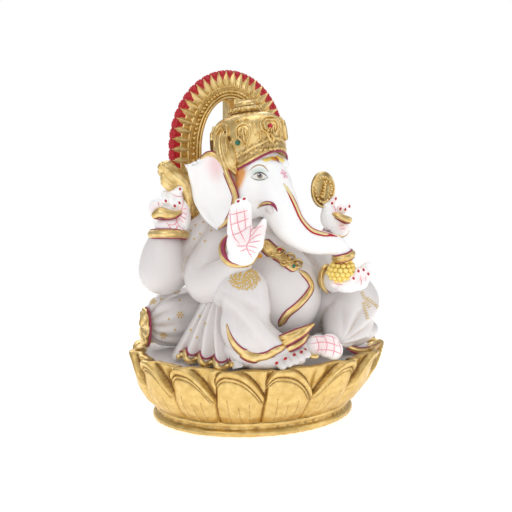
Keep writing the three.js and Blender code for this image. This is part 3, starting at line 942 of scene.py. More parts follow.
ORANGE = make_paint("orange_paint", (0.92, 0.42, 0.06), (0.85, 0.33, 0.04))

layers = {name: bmesh.new() for name in ("lash", "lower_lash", "eye_white", "iris", "pupil", "brow", "yellow",
                                         "trunk_gold", "pink", "orange", "red", "maroon", "gold", "white")}


def almond(x, y):
    """A disc pulled into the shape of an eye, with its corners drawn out."""
    return x, y * (1 - abs(x) ** 1.6) ** 0.75 * (1.15 if y > 0 else 0.85)


# The side of the head, the middle of the eye and how far round the head it faces.
for s, eye_place, turn in ((-1, in_head(-15.5, -20, -0.5), 38), (1, in_head(21.5, -12, -0.5), 68)):
    board = Patch(head_skin, eye_place, ahead(-s * turn))
    flip = -s
    board.disc(layers["eye_white"], (0, 0), (5.3, 2.5), 0.25, almond, segments=32)
    board.disc(layers["iris"], (0.4 * flip, 0.35), (1.95, 1.9), 0.4)
    board.disc(layers["pupil"], (0.4 * flip, 0.75), (1.1, 1.1), 0.52, segments=16)
    # A painted highlight: a small white dot on the pupil.
    board.disc(layers["white"], (-0.1 * flip, 1.2), (0.4, 0.4), 0.6, segments=10)
    upper = [(-6.9, -0.9), (-4.6, 1.1), (-1.8, 2.7), (1.2, 3.1), (4.2, 1.9), (6.7, -1.0)]
    lower = [(-6.9, -0.9), (-3.4, -2.2), (0.4, -2.7), (4.0, -2.0), (6.4, -0.8)]
    brow = [(-7.4, 4.4), (-4.0, 7.7), (0.2, 9.2), (4.2, 8.0), (7.6, 3.6)]
    for name, points, width in (("lash", upper, 1.0), ("lower_lash", lower, 0.7), ("brow", brow, 0.85)):
        board.line(layers[name], [(u * flip * 0.84, v * 0.86) for u, v in points], width, 0.42, 0.4)

    tusk_board = Patch(head_skin, in_head(s * 15, -26, -21), ahead(-s * 34))
    arch = [(-6.2, -1.6), (-4.4, 2.0), (-0.4, 3.9), (3.6, 2.4), (6.0, -2.6)]
    tusk_board.line(layers["maroon"], [(u * flip * 0.8, v * 0.8) for u, v in arch], 3.0, 0.7, 0.5)
    tusk_board.line(layers["gold"], [(u * flip * 0.8, v * 0.8 + 0.1) for u, v in arch[:4]], 1.9, 1.3, 0.4)

# The stubs of the tusks, low domes under their gilded arches.
for name, s in (("right", -1), ("left", 1)):
    stub = bmesh.new()
    root = Patch(head_skin, in_head(s * 15, -26, -21), ahead(-s * 34)).point(-s * 0.2, -1.0)
    out = ahead(-s * 34)
    ball(stub, root + out * 0.4, (3.1, 3.1, 2.9))
    ball(stub, root + out * 2.2 + Vector((0, 0, -0.8)), (2.4, 2.4, 2.2))
    finish_piece(name + "_tusk_stub", fuse(stub, 0.4, 4), MARBLE, [name + "_tusk"], (10, 0.8))

mark = Patch(head_skin, in_head(-1.5, -24, 10.5), ahead(4))
mark.line(layers["yellow"], [(-11, -0.6), (-6, 0.6), (0, 1.0), (6, 0.6), (11, -0.6)], 4.4, 0.5, 0.06)
mark.disc(layers["maroon"], (0, -0.3), (0.9, 1.9), 0.75)
mark.disc(layers["orange"], (-2.4, 0.4), (1.6, 1.2), 0.62)
mark.disc(layers["orange"], (2.4, 0.4), (1.6, 1.2), 0.62)
bloom = Patch(head_skin, in_head(-2.5, -31, 1), ahead(8))
for k in range(5):
    turn = math.radians(90 + 72 * k)
    bloom.disc(layers["pink"], (2.1 * math.cos(turn), 2.1 * math.sin(turn)), (1.25, 0.75), 0.25, turn=turn)
bloom.disc(layers["pink"], (0, 0), (0.7, 0.7), 0.25)

# %% [markdown]
# ## The stripe down the trunk
# A red band with a pale gold middle runs down the trunk. It is two strips on the same path, the
# narrower one standing a little higher.

# %% The painted stripe down the trunk
STRIPE = [(-3.5, -46, 170.5), (-1.2, -51, 164), (1, -56, 155), (4, -61.5, 147), (8.5, -66, 141.5),
          (15, -68.5, 140.5), (22, -69.2, 140), (28, -69, 137.5)]
strip(layers["red"], STRIPE, 4.9, 0.45, 10, 0.3, head_skin)
strip(layers["trunk_gold"], [STRIPE[0]] + STRIPE[1:-1], 2.9, 0.75, 10, 0.12, head_skin)

layer_looks = {"lash": LASH, "lower_lash": LOWER_LASH, "eye_white": EYE_WHITE, "iris": IRIS, "pupil": PUPIL,
               "brow": BROW, "yellow": YELLOW, "trunk_gold": STRIP_GOLD, "pink": PINK, "orange": ORANGE,
               "red": RED, "maroon": MAROON, "gold": GOLD, "white": EYE_WHITE}
for name, layer in layers.items():
    slot_name = "leaf_gold" if name == "gold" else "marble_white"
    finish_piece("face_" + name, mesh_of(layer), layer_looks[name], (), None,
                 name in ("gold", "red", "maroon"))

# %% [markdown]
# ## The crown
# The crown is a turning with a beaded rim. Its filigree is a set of raised scrolls.

# %% The turned body of the crown
CROWN_TILT = math.radians(10)
CROWN_OVAL = 1.14  # front to back over side to side
BAND_RISE = 4.0  # how far the band climbs over the forehead and drops behind
BAND_SAG = 7.0  # how far it dips at the temples
CROWN_FRAME = (
    Matrix.Translation(in_head(0.2, 1, 10.2))
    @ Matrix.Rotation(HEAD_TURN, 4, "Z")
    @ Matrix.Rotation(-CROWN_TILT, 4, "X")
)
crown_profile = [(0, -2), (21.8, -2), (22.6, -1.2), (22.9, 0), (22.4, 0.9), (21.8, 1.3), (21.9, 5.6),
                 (22.7, 6.0), (23.1, 6.9), (22.8, 7.8), (22.3, 8.2), (23.1, 12), (23.7, 17), (23.4, 22),
                 (21.8, 26), (18.6, 29.2), (13.8, 31.2), (10.2, 31.9), (9.6, 32.6), (10.6, 33.6),
                 (11.2, 34.8), (10.6, 36), (8.2, 36.6), (6.8, 37), (7.4, 38.2), (7.2, 39.6), (5.0, 41),
                 (0, 41.6)]


def ring_fade(height):
    """1 for the low rings of the crown, 0 for the high ones."""
    fade = min(1, max(0, 1 - (height - 9) / 20))
    return fade * fade * (3 - 2 * fade)


def band_shift(across, ahead_of, height):
    """How far a ring of the crown is lifted: the low rings follow the brow, the high ones stay level."""
    reach = math.hypot(across, ahead_of / CROWN_OVAL)
    if reach < 1:
        return 0.0
    front, side = ahead_of / CROWN_OVAL / reach, across / reach
    return (BAND_RISE * front - BAND_SAG * side**2) * ring_fade(height)


def band_flare(across, ahead_of, height):
    """How much wider a ring is at the temples than the plain oval."""
    side = across / max(1, math.hypot(across, ahead_of / CROWN_OVAL))
    return 1 + 0.085 * side**2 * ring_fade(height)


crown_mesh = with_modifiers(turned(crown_profile, 120, CROWN_OVAL),
                            ("SUBSURF", {"levels": 1, "render_levels": 1}))
for v in crown_mesh.vertices:
    wide = band_flare(v.co.x, v.co.y, v.co.z)
    lift = band_shift(v.co.x, -v.co.y, v.co.z)
    v.co = (v.co.x * wide, v.co.y * wide, v.co.z + lift)
crown_mesh.transform(CROWN_FRAME)
crown_skin = skin(crown_mesh)


def on_crown(angle, height):
    """A place on the crown: degrees from straight ahead to its own right, and height up its axis."""
    a = math.radians(angle)
    outwards = Vector((-math.sin(a), -math.cos(a), 0))
    level = height + band_shift(outwards.x, -outwards.y * CROWN_OVAL, height)
    start = CROWN_FRAME @ (outwards * 45 + Vector((0, 0, level)))
    inwards = (CROWN_FRAME.to_3x3() @ -outwards).normalized()
    hit = crown_skin.ray_cast(start, inwards, 60)[0]
    return hit if hit is not None else CROWN_FRAME @ (outwards * 8 + Vector((0, 0, level)))


def crown_line(bm, points, width=1.5, height=1.0, closed=False, taper=0.2):
    strip(bm, [on_crown(a, h) for a, h in points], width, height, 8, taper, crown_skin, closed=closed)


print("the crown stands at", tuple(round(c, 1) for c in CROWN_FRAME.translation), "mm")

# %% [markdown]
# ## The filigree
# Drop-shaped plaques, scrolls and strings of beads cover the crown. Each is drawn as angles and
# heights, cast on to the turning, and laid as a small moulding, eight times round.

# %% Plaques, scrolls and beads of the crown
PLAQUE_STEPS = 16


def drop(centre, middle, wide, tall):
    """A drop with its point up, as turns and heights round the crown."""
    steps = [2 * math.pi * k / PLAQUE_STEPS for k in range(PLAQUE_STEPS)]
    return [(centre + wide * math.sin(t) * (1 - 0.35 * math.cos(t)),
             middle - tall * math.cos(t) * 0.95) for t in steps]


relief_bm = bmesh.new()
RIM_BEADS = 46
for k in range(RIM_BEADS):
    beads(relief_bm, [on_crown(360 * k / RIM_BEADS, 3.5)], 1.4, crown_skin, 0.8)
PLAQUE_TURN = 10
for k in range(8):
    centre = PLAQUE_TURN + 45 * k
    big = k % 2 == 0
    wide, tall = (17, 9.0) if big else (10, 7.0)
    middle = 17.2 if big else 16.5
    crown_line(relief_bm, drop(centre, middle, wide, tall), 1.9, 2.0, True)
    if big:
        crown_line(relief_bm, drop(centre, middle, wide * 0.70, tall * 0.70), 1.3, 1.6, True)
        for s in (-1, 1):
            curl = [(centre + s * (2 + 4.6 * math.cos(t)) * (1 - t / 9),
                     middle - 2 + 4.0 * math.sin(t) * (1 - t / 9))
                    for t in np.linspace(0, 5.2, 9)]
            crown_line(relief_bm, curl, 1.2, 1.5)
        for s in (-1, 1):
            leaf_path = [(centre + s * (20 + 4 * math.sin(t)) - s * 3 * t,
                          10 + 4.4 * t) for t in np.linspace(0, 3.4, 9)]
            crown_line(relief_bm, leaf_path, 1.3, 1.4)
            beads(relief_bm, [on_crown(centre + s * (15.5 + 2 * j), 9.6 + 1.2 * j) for j in range(3)], 0.9,
                  crown_skin)
    else:
        crown_line(relief_bm, [(centre, middle - 4), (centre, middle + 4.5)], 2.4, 1.8)
        crown_line(relief_bm, drop(centre, middle, wide * 0.55, tall * 0.55), 1.0, 1.3, True)
        for s in (-1, 1):
            curl = [(centre + s * (6.5 + 5.5 * math.sin(t) * (1 - t / 8)),
                     24.6 - 1.8 * math.cos(t) * (1 - t / 8))
                    for t in np.linspace(0, 5.0, 8)]
            crown_line(relief_bm, curl, 1.1, 1.4)
    between = [(0, 10.5), (-3.5, 13.5), (3.5, 13.5), (0, 16)]
    beads(relief_bm, [on_crown(centre + 22.5 + d, h) for d, h in between], 1.0, crown_skin)
for k in range(16):
    beads(relief_bm, [on_crown(360 * k / 16, 34.8)], 1.4, crown_skin, 0.7)
push(crown_mesh, lambda co: 0.12 * np.sin(co[:, 0] * 2.1 + 1.3 * np.sin(co[:, 2]))
     * np.sin(co[:, 2] * 2.3 + co[:, 1]))
crown_bm = bmesh.new()
crown_bm.from_mesh(crown_mesh)
crown_bm.from_mesh(mesh_of(relief_bm))
finish_piece("crown_turning", mesh_of(crown_bm), GOLD,
             ["crown_band", "crown_body", "crown_tier", "crown_knob"], (10, 0.45), False)

# %% [markdown]
# ## The edge of the crown
# Where gold meets the white brow a maroon line hides the joint. It follows the same lift and
# flare as the band above it.

# %% The line under the band
edge_bm = bmesh.new()
rim_path = []
for k in range(60):
    t = 2 * math.pi * k / 60
    across, ahead_of = 22.5 * math.sin(t), 22.5 * CROWN_OVAL * math.cos(t)
    wide = band_flare(across, ahead_of, 0)
    rim_path.append(CROWN_FRAME @ Vector((across * wide, -ahead_of * wide,
                                          -1.9 + band_shift(across, ahead_of, 0))))
strip(edge_bm, rim_path, 1.5, 0.8, 8, 0.0, None, closed=True, up=(0, -0.6, -0.8))
finish_piece("crown_rim_line", mesh_of(edge_bm), MAROON, (), None)

# %% [markdown]
# ## Side flaps
# A flap hangs from the crown over each ear, fluted like combed hair. It is a limb of clay with
# a sine pushed into it.

# %% The flaps


def flap(s):
    """A fluted flap that hangs over the ear: flutes run down it like combed hair."""
    bm = bmesh.new()
    stations = [(s * 19, 5, 29.5, 3.5), (s * 22.5, 4.5, 23, 6.5), (s * 24, 2, 15, 7.5), (s * 24, -1.5, 8, 6),
                (s * 23, -4.5, 3, 2.8)]
    limb(bm, [(*in_head(x, y, z), r) for x, y, z, r in stations], 1.2)
    mesh = fuse(bm, 0.6, 5)
    across = HEAD_FRAME.to_3x3() @ Vector((0, 1, 0))
    push(mesh, lambda co: 0.4 * np.sin((co @ np.array(across) - 0.35 * co[:, 2]) * 2.4))
    return mesh


for name, s in (("right", -1), ("left", 1)):
    finish_piece(f"crown_{name}_flap_fluted", flap(s), GOLD, [f"crown_{name}_flap"], (6, 0.5))

# %% [markdown]
# ## Stones
# A few coloured stones are set in the gold. A short cone with eight sides and a small bevel
# catches the light on its facets as a cut stone does.

# %% Stones
def cut_stone(name, node, place, facing, radius, material, stretch=1.0):
    """A stone cut with flat facets."""
    bm = bmesh.new()
    turn = Vector(facing).to_track_quat("Z", "Y")
    bmesh.ops.create_cone(bm, cap_ends=True, segments=8, radius1=radius, radius2=radius * 0.55,
                          depth=radius * 0.7,
                          matrix=Matrix.LocRotScale(Vector(place), turn, Vector((1, stretch, 1))))
    bmesh.ops.bevel(bm, geom=bm.edges, offset=0.12, affect="EDGES", segments=1, profile=0.5, material=-1)
    finish_piece(name, mesh_of(bm), material, [node], None)


for name, node, angle, height, material, slot_name in (
    ("crown_front_stone", "crown_red_stone", 12, 17.0, RED_GEM, "red_gem"),
    ("crown_side_stone", "crown_green_stone", 66, 10.5, GREEN_GEM, "green_gem"),
):
    cut_stone(name, node, on_crown(angle, height) + ahead(angle), ahead(angle), 2.0, material)

# %% [markdown]
# ## The halo
# The halo is a flat arch behind the head: a red scalloped edge, a row of raised leaves, and a
# row of beads between two mouldings.

# %% The arch
HALO_LOW, HALO_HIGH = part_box("halo_arch")
HALO_FRONT = HALO_LOW.y / MM
HALO_BACK = HALO_HIGH.y / MM
HALO_TOP = HALO_HIGH.z / MM
HALO_FOOT = HALO_LOW.z / MM
SPRING = 192.0
HALF_OUT, HALF_IN = 49.0, 25.0
RISE_OUT, RISE_IN = HALO_TOP - SPRING, 38.0
PLATE_INSET = 1.2  # the relief stands in front of the plate by this much


def halo_point(t, f, y):
    """t runs from -1 at the right foot over the top to 1 at the left foot, f from outer to inner edge."""
    half = HALF_OUT + (HALF_IN - HALF_OUT) * f
    rise = RISE_OUT + (RISE_IN - RISE_OUT) * f
    turn = abs(t) * math.pi * 0.82
    if turn <= math.pi / 2:
        x, z = half * math.sin(turn), SPRING + rise * math.cos(turn)
    else:
        down = (turn - math.pi / 2) / (math.pi * 0.32)
        x, z = half - (9 - 4 * f) * down**2, SPRING - (SPRING - HALO_FOOT) * down
    return Vector((math.copysign(x, t), y, z))


halo_bm = bmesh.new()
for v in bmesh.ops.create_grid(halo_bm, x_segments=180, y_segments=16, size=1)["verts"]:
    f = (v.co.y + 1) / 2
    v.co = halo_point(v.co.x, 0.30 + 0.70 * f, HALO_FRONT + PLATE_INSET)
bmesh.ops.recalc_face_normals(halo_bm, faces=halo_bm.faces)


def slab(bm, depth):
    """Thickens a flat sheet backwards into a plate."""
    front_faces = list(bm.faces)
    made = bmesh.ops.extrude_face_region(bm, geom=front_faces)["geom"]
    bmesh.ops.translate(bm, vec=(0, depth, 0), verts=[g for g in made if isinstance(g, bmesh.types.BMVert)])
    bmesh.ops.recalc_face_normals(bm, faces=bm.faces)
    return mesh_of(bm)


plate = slab(halo_bm, HALO_BACK - HALO_FRONT - PLATE_INSET)
arch_bm = bmesh.new()
arch_bm.from_mesh(plate)
front = HALO_FRONT + 1.4
for f, width, height in ((0.57, 2.2, 1.6), (0.63, 1.2, 1.0), (0.86, 2.2, 1.8), (0.97, 2.6, 1.6)):
    path = [halo_point(t, f, front) for t in np.linspace(-1, 1, 60)]
    strip(arch_bm, path, width, height, 8, 0.0)
print("the plate of the arch has", len(plate.polygons), "faces")

# %% [markdown]
# ## Beads and leaves
# A string of beads runs round the arch, and a row of pointed leaves rays outwards, a small leaf
# on each large one. Both repeat, so each is a function called in a loop.

# %% Beads and leaves of the halo
BEADS = 62
beads(arch_bm, [halo_point(2 * (k + 0.5) / BEADS - 1, 0.745, front - 0.6) for k in range(BEADS)], 1.55)
LEAVES = 38


def halo_leaf(bm, t, reach, wide, ridge):
    """A pointed leaf with a ridge down its middle, set on the arch and pointing outwards."""
    root, tip = halo_point(t, 0.58, front), halo_point(t, 0.58 - reach, front)
    along = tip - root
    side = along.normalized().cross(Vector((0, -1, 0)))
    for v in bmesh.ops.create_grid(bm, x_segments=6, y_segments=10, size=1)["verts"]:
        u, w = v.co.x, (v.co.y + 1) / 2
        half = wide * max(0.03, (1 - w**2.3)) * min(1, 0.75 + w)
        v.co = root + along * w + side * u * half + Vector((0, -1,
                                                            0)) * (ridge * (1 - abs(u)) * (1 - 0.6 * w) - 0.4)


for k in range(LEAVES):
    t = 2 * (k + 0.5) / LEAVES - 1
    halo_leaf(arch_bm, t, 0.58, 3.5, 2.8)
    halo_leaf(arch_bm, t, 0.36, 1.6, 4.2)
bmesh.ops.recalc_face_normals(arch_bm, faces=arch_bm.faces)
post_low, post_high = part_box("halo_post")
post_bm = bmesh.new()
bmesh.ops.create_cube(post_bm, size=1.0, matrix=Matrix.LocRotScale(
    (post_low + post_high) / 2 / MM, None, (post_high - post_low) / MM))
bmesh.ops.bevel(post_bm, geom=post_bm.edges, offset=1.2, affect="EDGES", segments=3, profile=0.5, material=-1)
finish_piece("halo_plate", mesh_of(arch_bm), GOLD, ["halo_arch"], (6, 0.4), False)
finish_piece("halo_strut", mesh_of(post_bm), GOLD, ["halo_post"], (6, 0.4))

# %% [markdown]
# ## The red edge
# Behind the leaves the arch is enamelled red, with a rim of round buds. It is a second plate,
# extruded backwards like the first, with beads along its edge.

# %% The red edge of the halo
red_bm = bmesh.new()
for v in bmesh.ops.create_grid(red_bm, x_segments=200, y_segments=6, size=1)["verts"]:
    f = (v.co.y + 1) / 2
    v.co = halo_point(v.co.x, 0.04 + 0.34 * f, HALO_FRONT + 1.6)
bmesh.ops.recalc_face_normals(red_bm, faces=red_bm.faces)
red_mesh = slab(red_bm, HALO_BACK - HALO_FRONT - 2.2)
red_all = bmesh.new()
red_all.from_mesh(red_mesh)
for k in range(LEAVES + 1):
    t = 2 * k / LEAVES - 1
    beads(red_all, [halo_point(t, 0.085, front + 0.9)], 1.7)
    beads(red_all, [halo_point(t, 0.055, HALO_BACK - 2.2)], 2.0)
    for dt in (-0.5, 0.5):
        beads(red_all, [halo_point(max(-1, min(1, t + dt / LEAVES)), 0.05,
                                   (HALO_FRONT + HALO_BACK) / 2 + 0.6)], 1.9)
finish_piece("halo_red_edge", mesh_of(red_all), RED, (), None, False)

# %% [markdown]
# ## Cloth, hands and trims
# The cloth is carved into the casting, so its folds are pressed into the form like the rest.

# %% Legs under the cloth
right_leg_bm = bmesh.new()
limb(right_leg_bm, [(-28, -8, 76, 18), (-35, -34, 96, 17), (-36, -49, 100, 16.5), (-37, -53, 88, 16.5),
                    (-36, -56, 74, 17), (-27, -59, 66, 14.5), (-14, -63, 61, 10.5), (-3, -66, 59.5, 8)])
ball(right_leg_bm, (-36, -53, 60), (15, 16, 11))
right_leg_mesh = fuse(right_leg_bm, 0.9, 9)


def leg_folds(co):
    """Folds that swing down from the knee to the hem."""
    sweep = np.arctan2(co[:, 2] - 108, co[:, 0] + 62) * 9 + 0.02 * (co[:, 0] + 40)
    depth = np.clip((104 - co[:, 2]) / 30, 0, 1) * np.clip((co[:, 2] - 54) / 10, 0.15, 1)
    ridge = np.sin(sweep * 1.45)
    return 1.5 * depth * (np.abs(ridge) ** 0.7 * np.sign(ridge) - 0.2)


push(right_leg_mesh, leg_folds)
right_leg_skin = skin(right_leg_mesh)
right_leg_form = right_leg_mesh.copy()
finish_piece("right_leg_drape", right_leg_mesh, MARBLE, ["right_leg"], (26, 1.3))
left_leg_bm = bmesh.new()
limb(left_leg_bm, [(30, -10, 76, 22), (52, -36, 84, 22), (55, -45, 83, 20), (48, -50, 72, 18),
                   (34, -60, 66, 10)])
ball(left_leg_bm, (56, -42, 62), (21, 20, 11))
left_leg_mesh = fuse(left_leg_bm, 0.9, 9)


def left_folds(co):
    sweep = np.arctan2(co[:, 2] - 60, co[:, 0] - 28) * 11
    depth = np.clip((100 - co[:, 2]) / 20, 0, 1) * np.clip((co[:, 0] - 28) / 14, 0, 1)
    return 1.1 * depth * np.sin(sweep * 1.3)


push(left_leg_mesh, left_folds)
left_leg_skin = skin(left_leg_mesh)
left_leg_form = left_leg_mesh.copy()
finish_piece("left_leg_drape", left_leg_mesh, MARBLE, ["left_leg"], (26, 1.3))

# %% [markdown]
# ## The bolster
# A round cushion lies behind the hips, gathered at both ends under gilded rosettes. It is cast
# in the same resin as the body, so it is clay with creases pressed in, not a soft cushion.

# %% The bolster
bolster_bm = bmesh.new()
limb(bolster_bm, [(-61, 27, 66.5, 13.5), (-59, 26.5, 67.5, 16.5), (-55, 26, 69.5, 19), (-47, 25, 71, 21),
                  (0, 25, 71.5, 21.5), (47, 25, 71, 21), (55, 26, 69.5, 19), (59, 26.5, 67.5, 16.5),
                  (61, 27, 66.5, 13.5)], 2.5)
bolster_mesh = fuse(bolster_bm, 1.0, 8)


def gathers(co):
    """Creases that run in to the gathered ends."""
    round_it = np.arctan2(co[:, 2] - 68, co[:, 1] - 26.5)
    reach = np.clip((np.abs(co[:, 0]) - 38) / 26, 0, 1)
    return 0.9 * reach * np.sin(round_it * 11 + 0.06 * co[:, 0]) * np.clip((78 - np.abs(co[:, 0])) / 8, 0, 1)


push(bolster_mesh, gathers)
bolster_skin = skin(bolster_mesh)
finish_piece("bolster_pillow", bolster_mesh, MARBLE, ["bolster"], (26, 1.3))
for name, s in (("right", -1), ("left", 1)):
    cap_edge_bm = bmesh.new()
    cap_turn = (
        Matrix.Translation((s * 76.5, 27, 66.0))
        @ Matrix.Rotation(s * math.radians(12), 4, "Z")
        @ Matrix.Rotation(s * math.radians(88), 4, "Y")
    )
    cap_profile = [(0, -4), (12, -4), (13.6, -2), (13.8, -0.5), (12.6, 0.6), (10, 0.3), (7.5, 1.2),
                   (4, 1.6), (0, 1.7)]
    cap_mesh = with_modifiers(turned(cap_profile, 72, 1.0), ("SUBSURF", {"levels": 1, "render_levels": 1}))
    push(cap_mesh, lambda co: 0.6 * np.sin(np.arctan2(co[:, 1], co[:, 0]) * 9 + co[:, 2])
         * np.clip(co[:, 2] + 2, 0, 1))
    cap_mesh.transform(cap_turn)
    finish_piece(f"bolster_{name}_rosette", cap_mesh, GOLD, [f"bolster_{name}_cap"], (8, 0.6))
    edge_path = [cap_turn @ Vector((14.0 * math.cos(t), 14.0 * math.sin(t), -2.6))
                 for t in (2 * math.pi * k / 24 for k in range(24))]
    strip(cap_edge_bm, edge_path, 1.4, 0.8, 8, 0.0, None, closed=True, up=(s, 0, 0.1))
    finish_piece(f"bolster_{name}_cap_line", mesh_of(cap_edge_bm), MAROON, (), None)

# %% [markdown]
# ## The sash
# The end of the waist cloth hangs beside the right leg in pleats. A formula folds a grid like a
# fan that opens downwards, and Solidify gives it the thickness of a casting.

# %% The pleated sash


PLEATS = 3.7  # half waves across the sash


def sash_point(u, w):
    """u runs across the sash from -1 to 1 and w down it from 0 to 1."""
    top = Vector((-50, -27, 94)).lerp(Vector((-46, -36, 95)), (u + 1) / 2)
    low = Vector((-71, -16, 53)).lerp(Vector((-50, -61, 50)), (u + 1) / 2)
    here = top.lerp(low, w**1.15)
    pleat = math.cos(u * PLEATS * math.pi + 0.6 * math.sin(w * 3))
    deep = 0.9 + 2.6 * w
    swell = 4.0 * math.sin(math.pi * w) * (1 - u * u)
    scallop = -2.8 * math.sin(u * PLEATS * math.pi + 0.6) * w**4
    return here + Vector((-0.82, -0.56, 0.1)) * (pleat * deep + swell) + Vector((0, 0, scallop))


sash_bm = bmesh.new()
for v in bmesh.ops.create_grid(sash_bm, x_segments=110, y_segments=70, size=1)["verts"]:
    v.co = sash_point(v.co.x, (1 - v.co.y) / 2)
bmesh.ops.recalc_face_normals(sash_bm, faces=sash_bm.faces)
inside = [f for f in sash_bm.faces if f.normal.x < 0]
if len(inside) < len(sash_bm.faces) / 2:
    bmesh.ops.reverse_faces(sash_bm, faces=sash_bm.faces)
sash_mesh = with_modifiers(mesh_of(sash_bm), ("SOLIDIFY", {"thickness": 7.0, "offset": -1.0}))
sash_skin = skin(sash_mesh)
finish_piece("sash_pleats", sash_mesh, MARBLE, ["sash"], (8, 0.8))
hem_bm, hem_edge_bm = bmesh.new(), bmesh.new()
hem_path = [sash_point(-1 + 2 * k / 40, 0.965) + Vector((-0.4, -0.27, 0)) for k in range(41)]
strip(hem_bm, hem_path, 4.4, 1.8, 10, 0.03, None, up=(-0.7, -0.7, 0.1))
hem_top = [sash_point(-1 + 2 * k / 40, 0.90) + Vector((-0.3, -0.2, 0.2)) for k in range(41)]
strip(hem_edge_bm, hem_top, 1.2, 0.9, 8, 0.03, None, up=(-0.82, -0.56, 0.1))
finish_piece("sash_hem_gilding", mesh_of(hem_bm), GOLD, ["sash_hem"], (6, 0.5))
finish_piece("sash_hem_line", mesh_of(hem_edge_bm), MAROON, (), None)

# %% [markdown]
# ## Gold on the cloth
# Small flowers, dots and specks are painted on the white cloth with gold paint. They are thin
# discs laid on the surfaces, scattered one by one or by a sunflower spiral.

# %% Flowers and dots of gold on the cloth
spots_bm = bmesh.new()


def flower(board, u, v, size=3.0, petals=6):
    for k in range(petals):
        turn = 2 * math.pi * k / petals
        board.disc(spots_bm, (u + size * 0.62 * math.cos(turn), v + size * 0.62 * math.sin(turn)),
                   (size * 0.3, size * 0.19), 0.25, turn=turn, segments=12)
    board.disc(spots_bm, (u, v), (size * 0.22, size * 0.22), 0.3, segments=12)


def dots(board, places, radius=0.75):
    for u, v in places:
        board.disc(spots_bm, (u, v), (radius, radius), 0.25, segments=12)


bolster_sight = Sight(bolster_skin)
for u, v in ((-56.5, -25.6), (-53.8, -43.0), (-66.0, -58.0), (-73.5, -33.0)):
    flower(bolster_sight, u, v)
dots(bolster_sight, [(-67.6, -31.6), (-54.2, -32.4), (-57.5, -53.8), (-76.5, -40.5), (-62.0, -46.0)])
dots(Sight(sash_skin), [(-37.5, -30.0), (-44.0, -32.2), (-43.5, -38.6), (-35.2, -49.3), (-48.4, -48.6),
                        (-41.5, -59.5), (-39.5, -44.0), (-46.0, -54.0)])
dots(Sight(body_skin), [(-42.5, 22.5), (-36.8, 24.5), (-39.2, 16.2), (-31.0, 18.5), (-35.5, 10.8),
                        (-43.5, 12.5), (-29.5, 25.5), (-46.0, 18.5)], 0.7)

# A medallion of crowded gold specks on the right knee.
knee = Sight(right_leg_skin)
SPECKS = 125
for k in range(SPECKS):
    reach = math.sqrt((k + 0.5) / SPECKS)
    turn = k * 2.399963
    u, v = -6.8 + 11.0 * reach * math.cos(turn), -16.4 + 8.6 * reach * math.sin(turn)
    wobble = math.sin(k * 12.9898) * 0.5
    knee.disc(spots_bm, (u + wobble, v - wobble * 0.6), (1.25, 0.45), 0.25, turn=k * 1.9, segments=12)
# Leafy sprigs on the left knee.
left_knee = Sight(left_leg_skin)
for start, heading in (((79.0, -27.0), -62), ((83.0, -31.0), -40), ((80.0, -34.5), -75)):
    for k in range(7):
        a = math.radians(heading)
        u = start[0] + 1.9 * k * math.cos(a)
        v = start[1] + 1.9 * k * math.sin(a)
        for lean in (-0.9, 0.9):
            side = 0.7 * lean
            left_knee.disc(spots_bm, (u - side * math.sin(a), v + side * math.cos(a)), (0.95, 0.36), 0.25,
                           turn=a + lean, segments=12)
finish_piece("cloth_gilding", mesh_of(spots_bm), GILT, (), None, False)

# %% [markdown]
# ## The hands
# Each hand is shaped on a board that faces the viewer, so the fingers are given in millimetres.

# %% Hands and what they hold
VIEWER = (-0.5, -0.866, 0.0)
nails_bm, henna_bm = bmesh.new(), bmesh.new()


def hand(name, node, at, parts, blush, turn=VIEWER, voxel=0.55):
    """Fuses balls and fingers given on a board; returns the board, laid on the finished hand."""
    bm = bmesh.new()
    board = Patch(None, at, turn)
    for part in parts:
        if len(part) == 2 and isinstance(part[1], tuple) and len(part[1]) == 3:
            (u, v, w), radii = part
            heading = math.degrees(math.atan2(board.right.y, board.right.x))
            ball(bm, board.space(u, v, w), (radii[0], radii[2], radii[1]), (0, 0, heading))
        else:
            limb(bm, [(*board.space(u, v, w), r) for u, v, w, r in part], 0.8)
    mesh = fuse(bm, voxel, 5)
    co = points_of(mesh)[0]
    for (u, v, w), radius in blush:
        paint(mesh, 0.55 * near(co, board.space(u, v, w), (radius,) * 3), (0.95, 0.66, 0.66))
    board.surface = skin(mesh)
    finish_piece(name, mesh, MARBLE, [node], (20, 1.0))
    return board


def nail(board, u, v, turn=60):
    board.disc(nails_bm, (u, v), (1.05, 0.75), 0.18, turn=math.radians(turn), segments=12)


def henna(board, *lines, width=0.62):
    for line in lines:
        board.line(henna_bm, line, width, 0.22, 0.3)

# %% [markdown]
# ## The raised hand
# The front right hand is held up with its palm forward. It is a pad of clay with four fingers
# and a thumb. Nails and henna are drawn on it once it is fused.

# %% The raised front hand
front_hand = hand("right_front_palm", "right_front_hand", (-39, -54, 136.5), [
    ((0, -4, 0), (11.3, 13.5, 6.0)), ((-2, -13, 0), (9.5, 6.5, 6.0)),
    [(-7.6, 4, 0, 3.4), (-7.2, 14, 0.4, 2.9), (-6.2, 20.5, 1.0, 2.4)],
    [(-4.2, 5, 0.4, 3.4), (-3.8, 16, 0.8, 3.0), (-2.8, 24, 1.4, 2.5)],
    [(-0.8, 5, 0.4, 3.4), (-0.4, 17, 0.8, 3.0), (0.6, 25.4, 1.4, 2.4)],
    [(2.6, 4, 0, 3.2), (3.0, 14, 0.4, 2.7), (3.2, 22, 1.0, 2.2)],
    [(7.5, -4, 1.5, 5.8), (10.4, 3, 2.0, 4.0), (12.6, 8.5, 2.2, 2.7), (13.6, 11.6, 2.2, 1.8)]],
    [((-1, 14, 4), 13), ((12, 5, 4), 10), ((0, 0, 6), 12)])
nail(front_hand, -3.3, 24.6, 30)
nail(front_hand, 0.6, 26.2, 25)
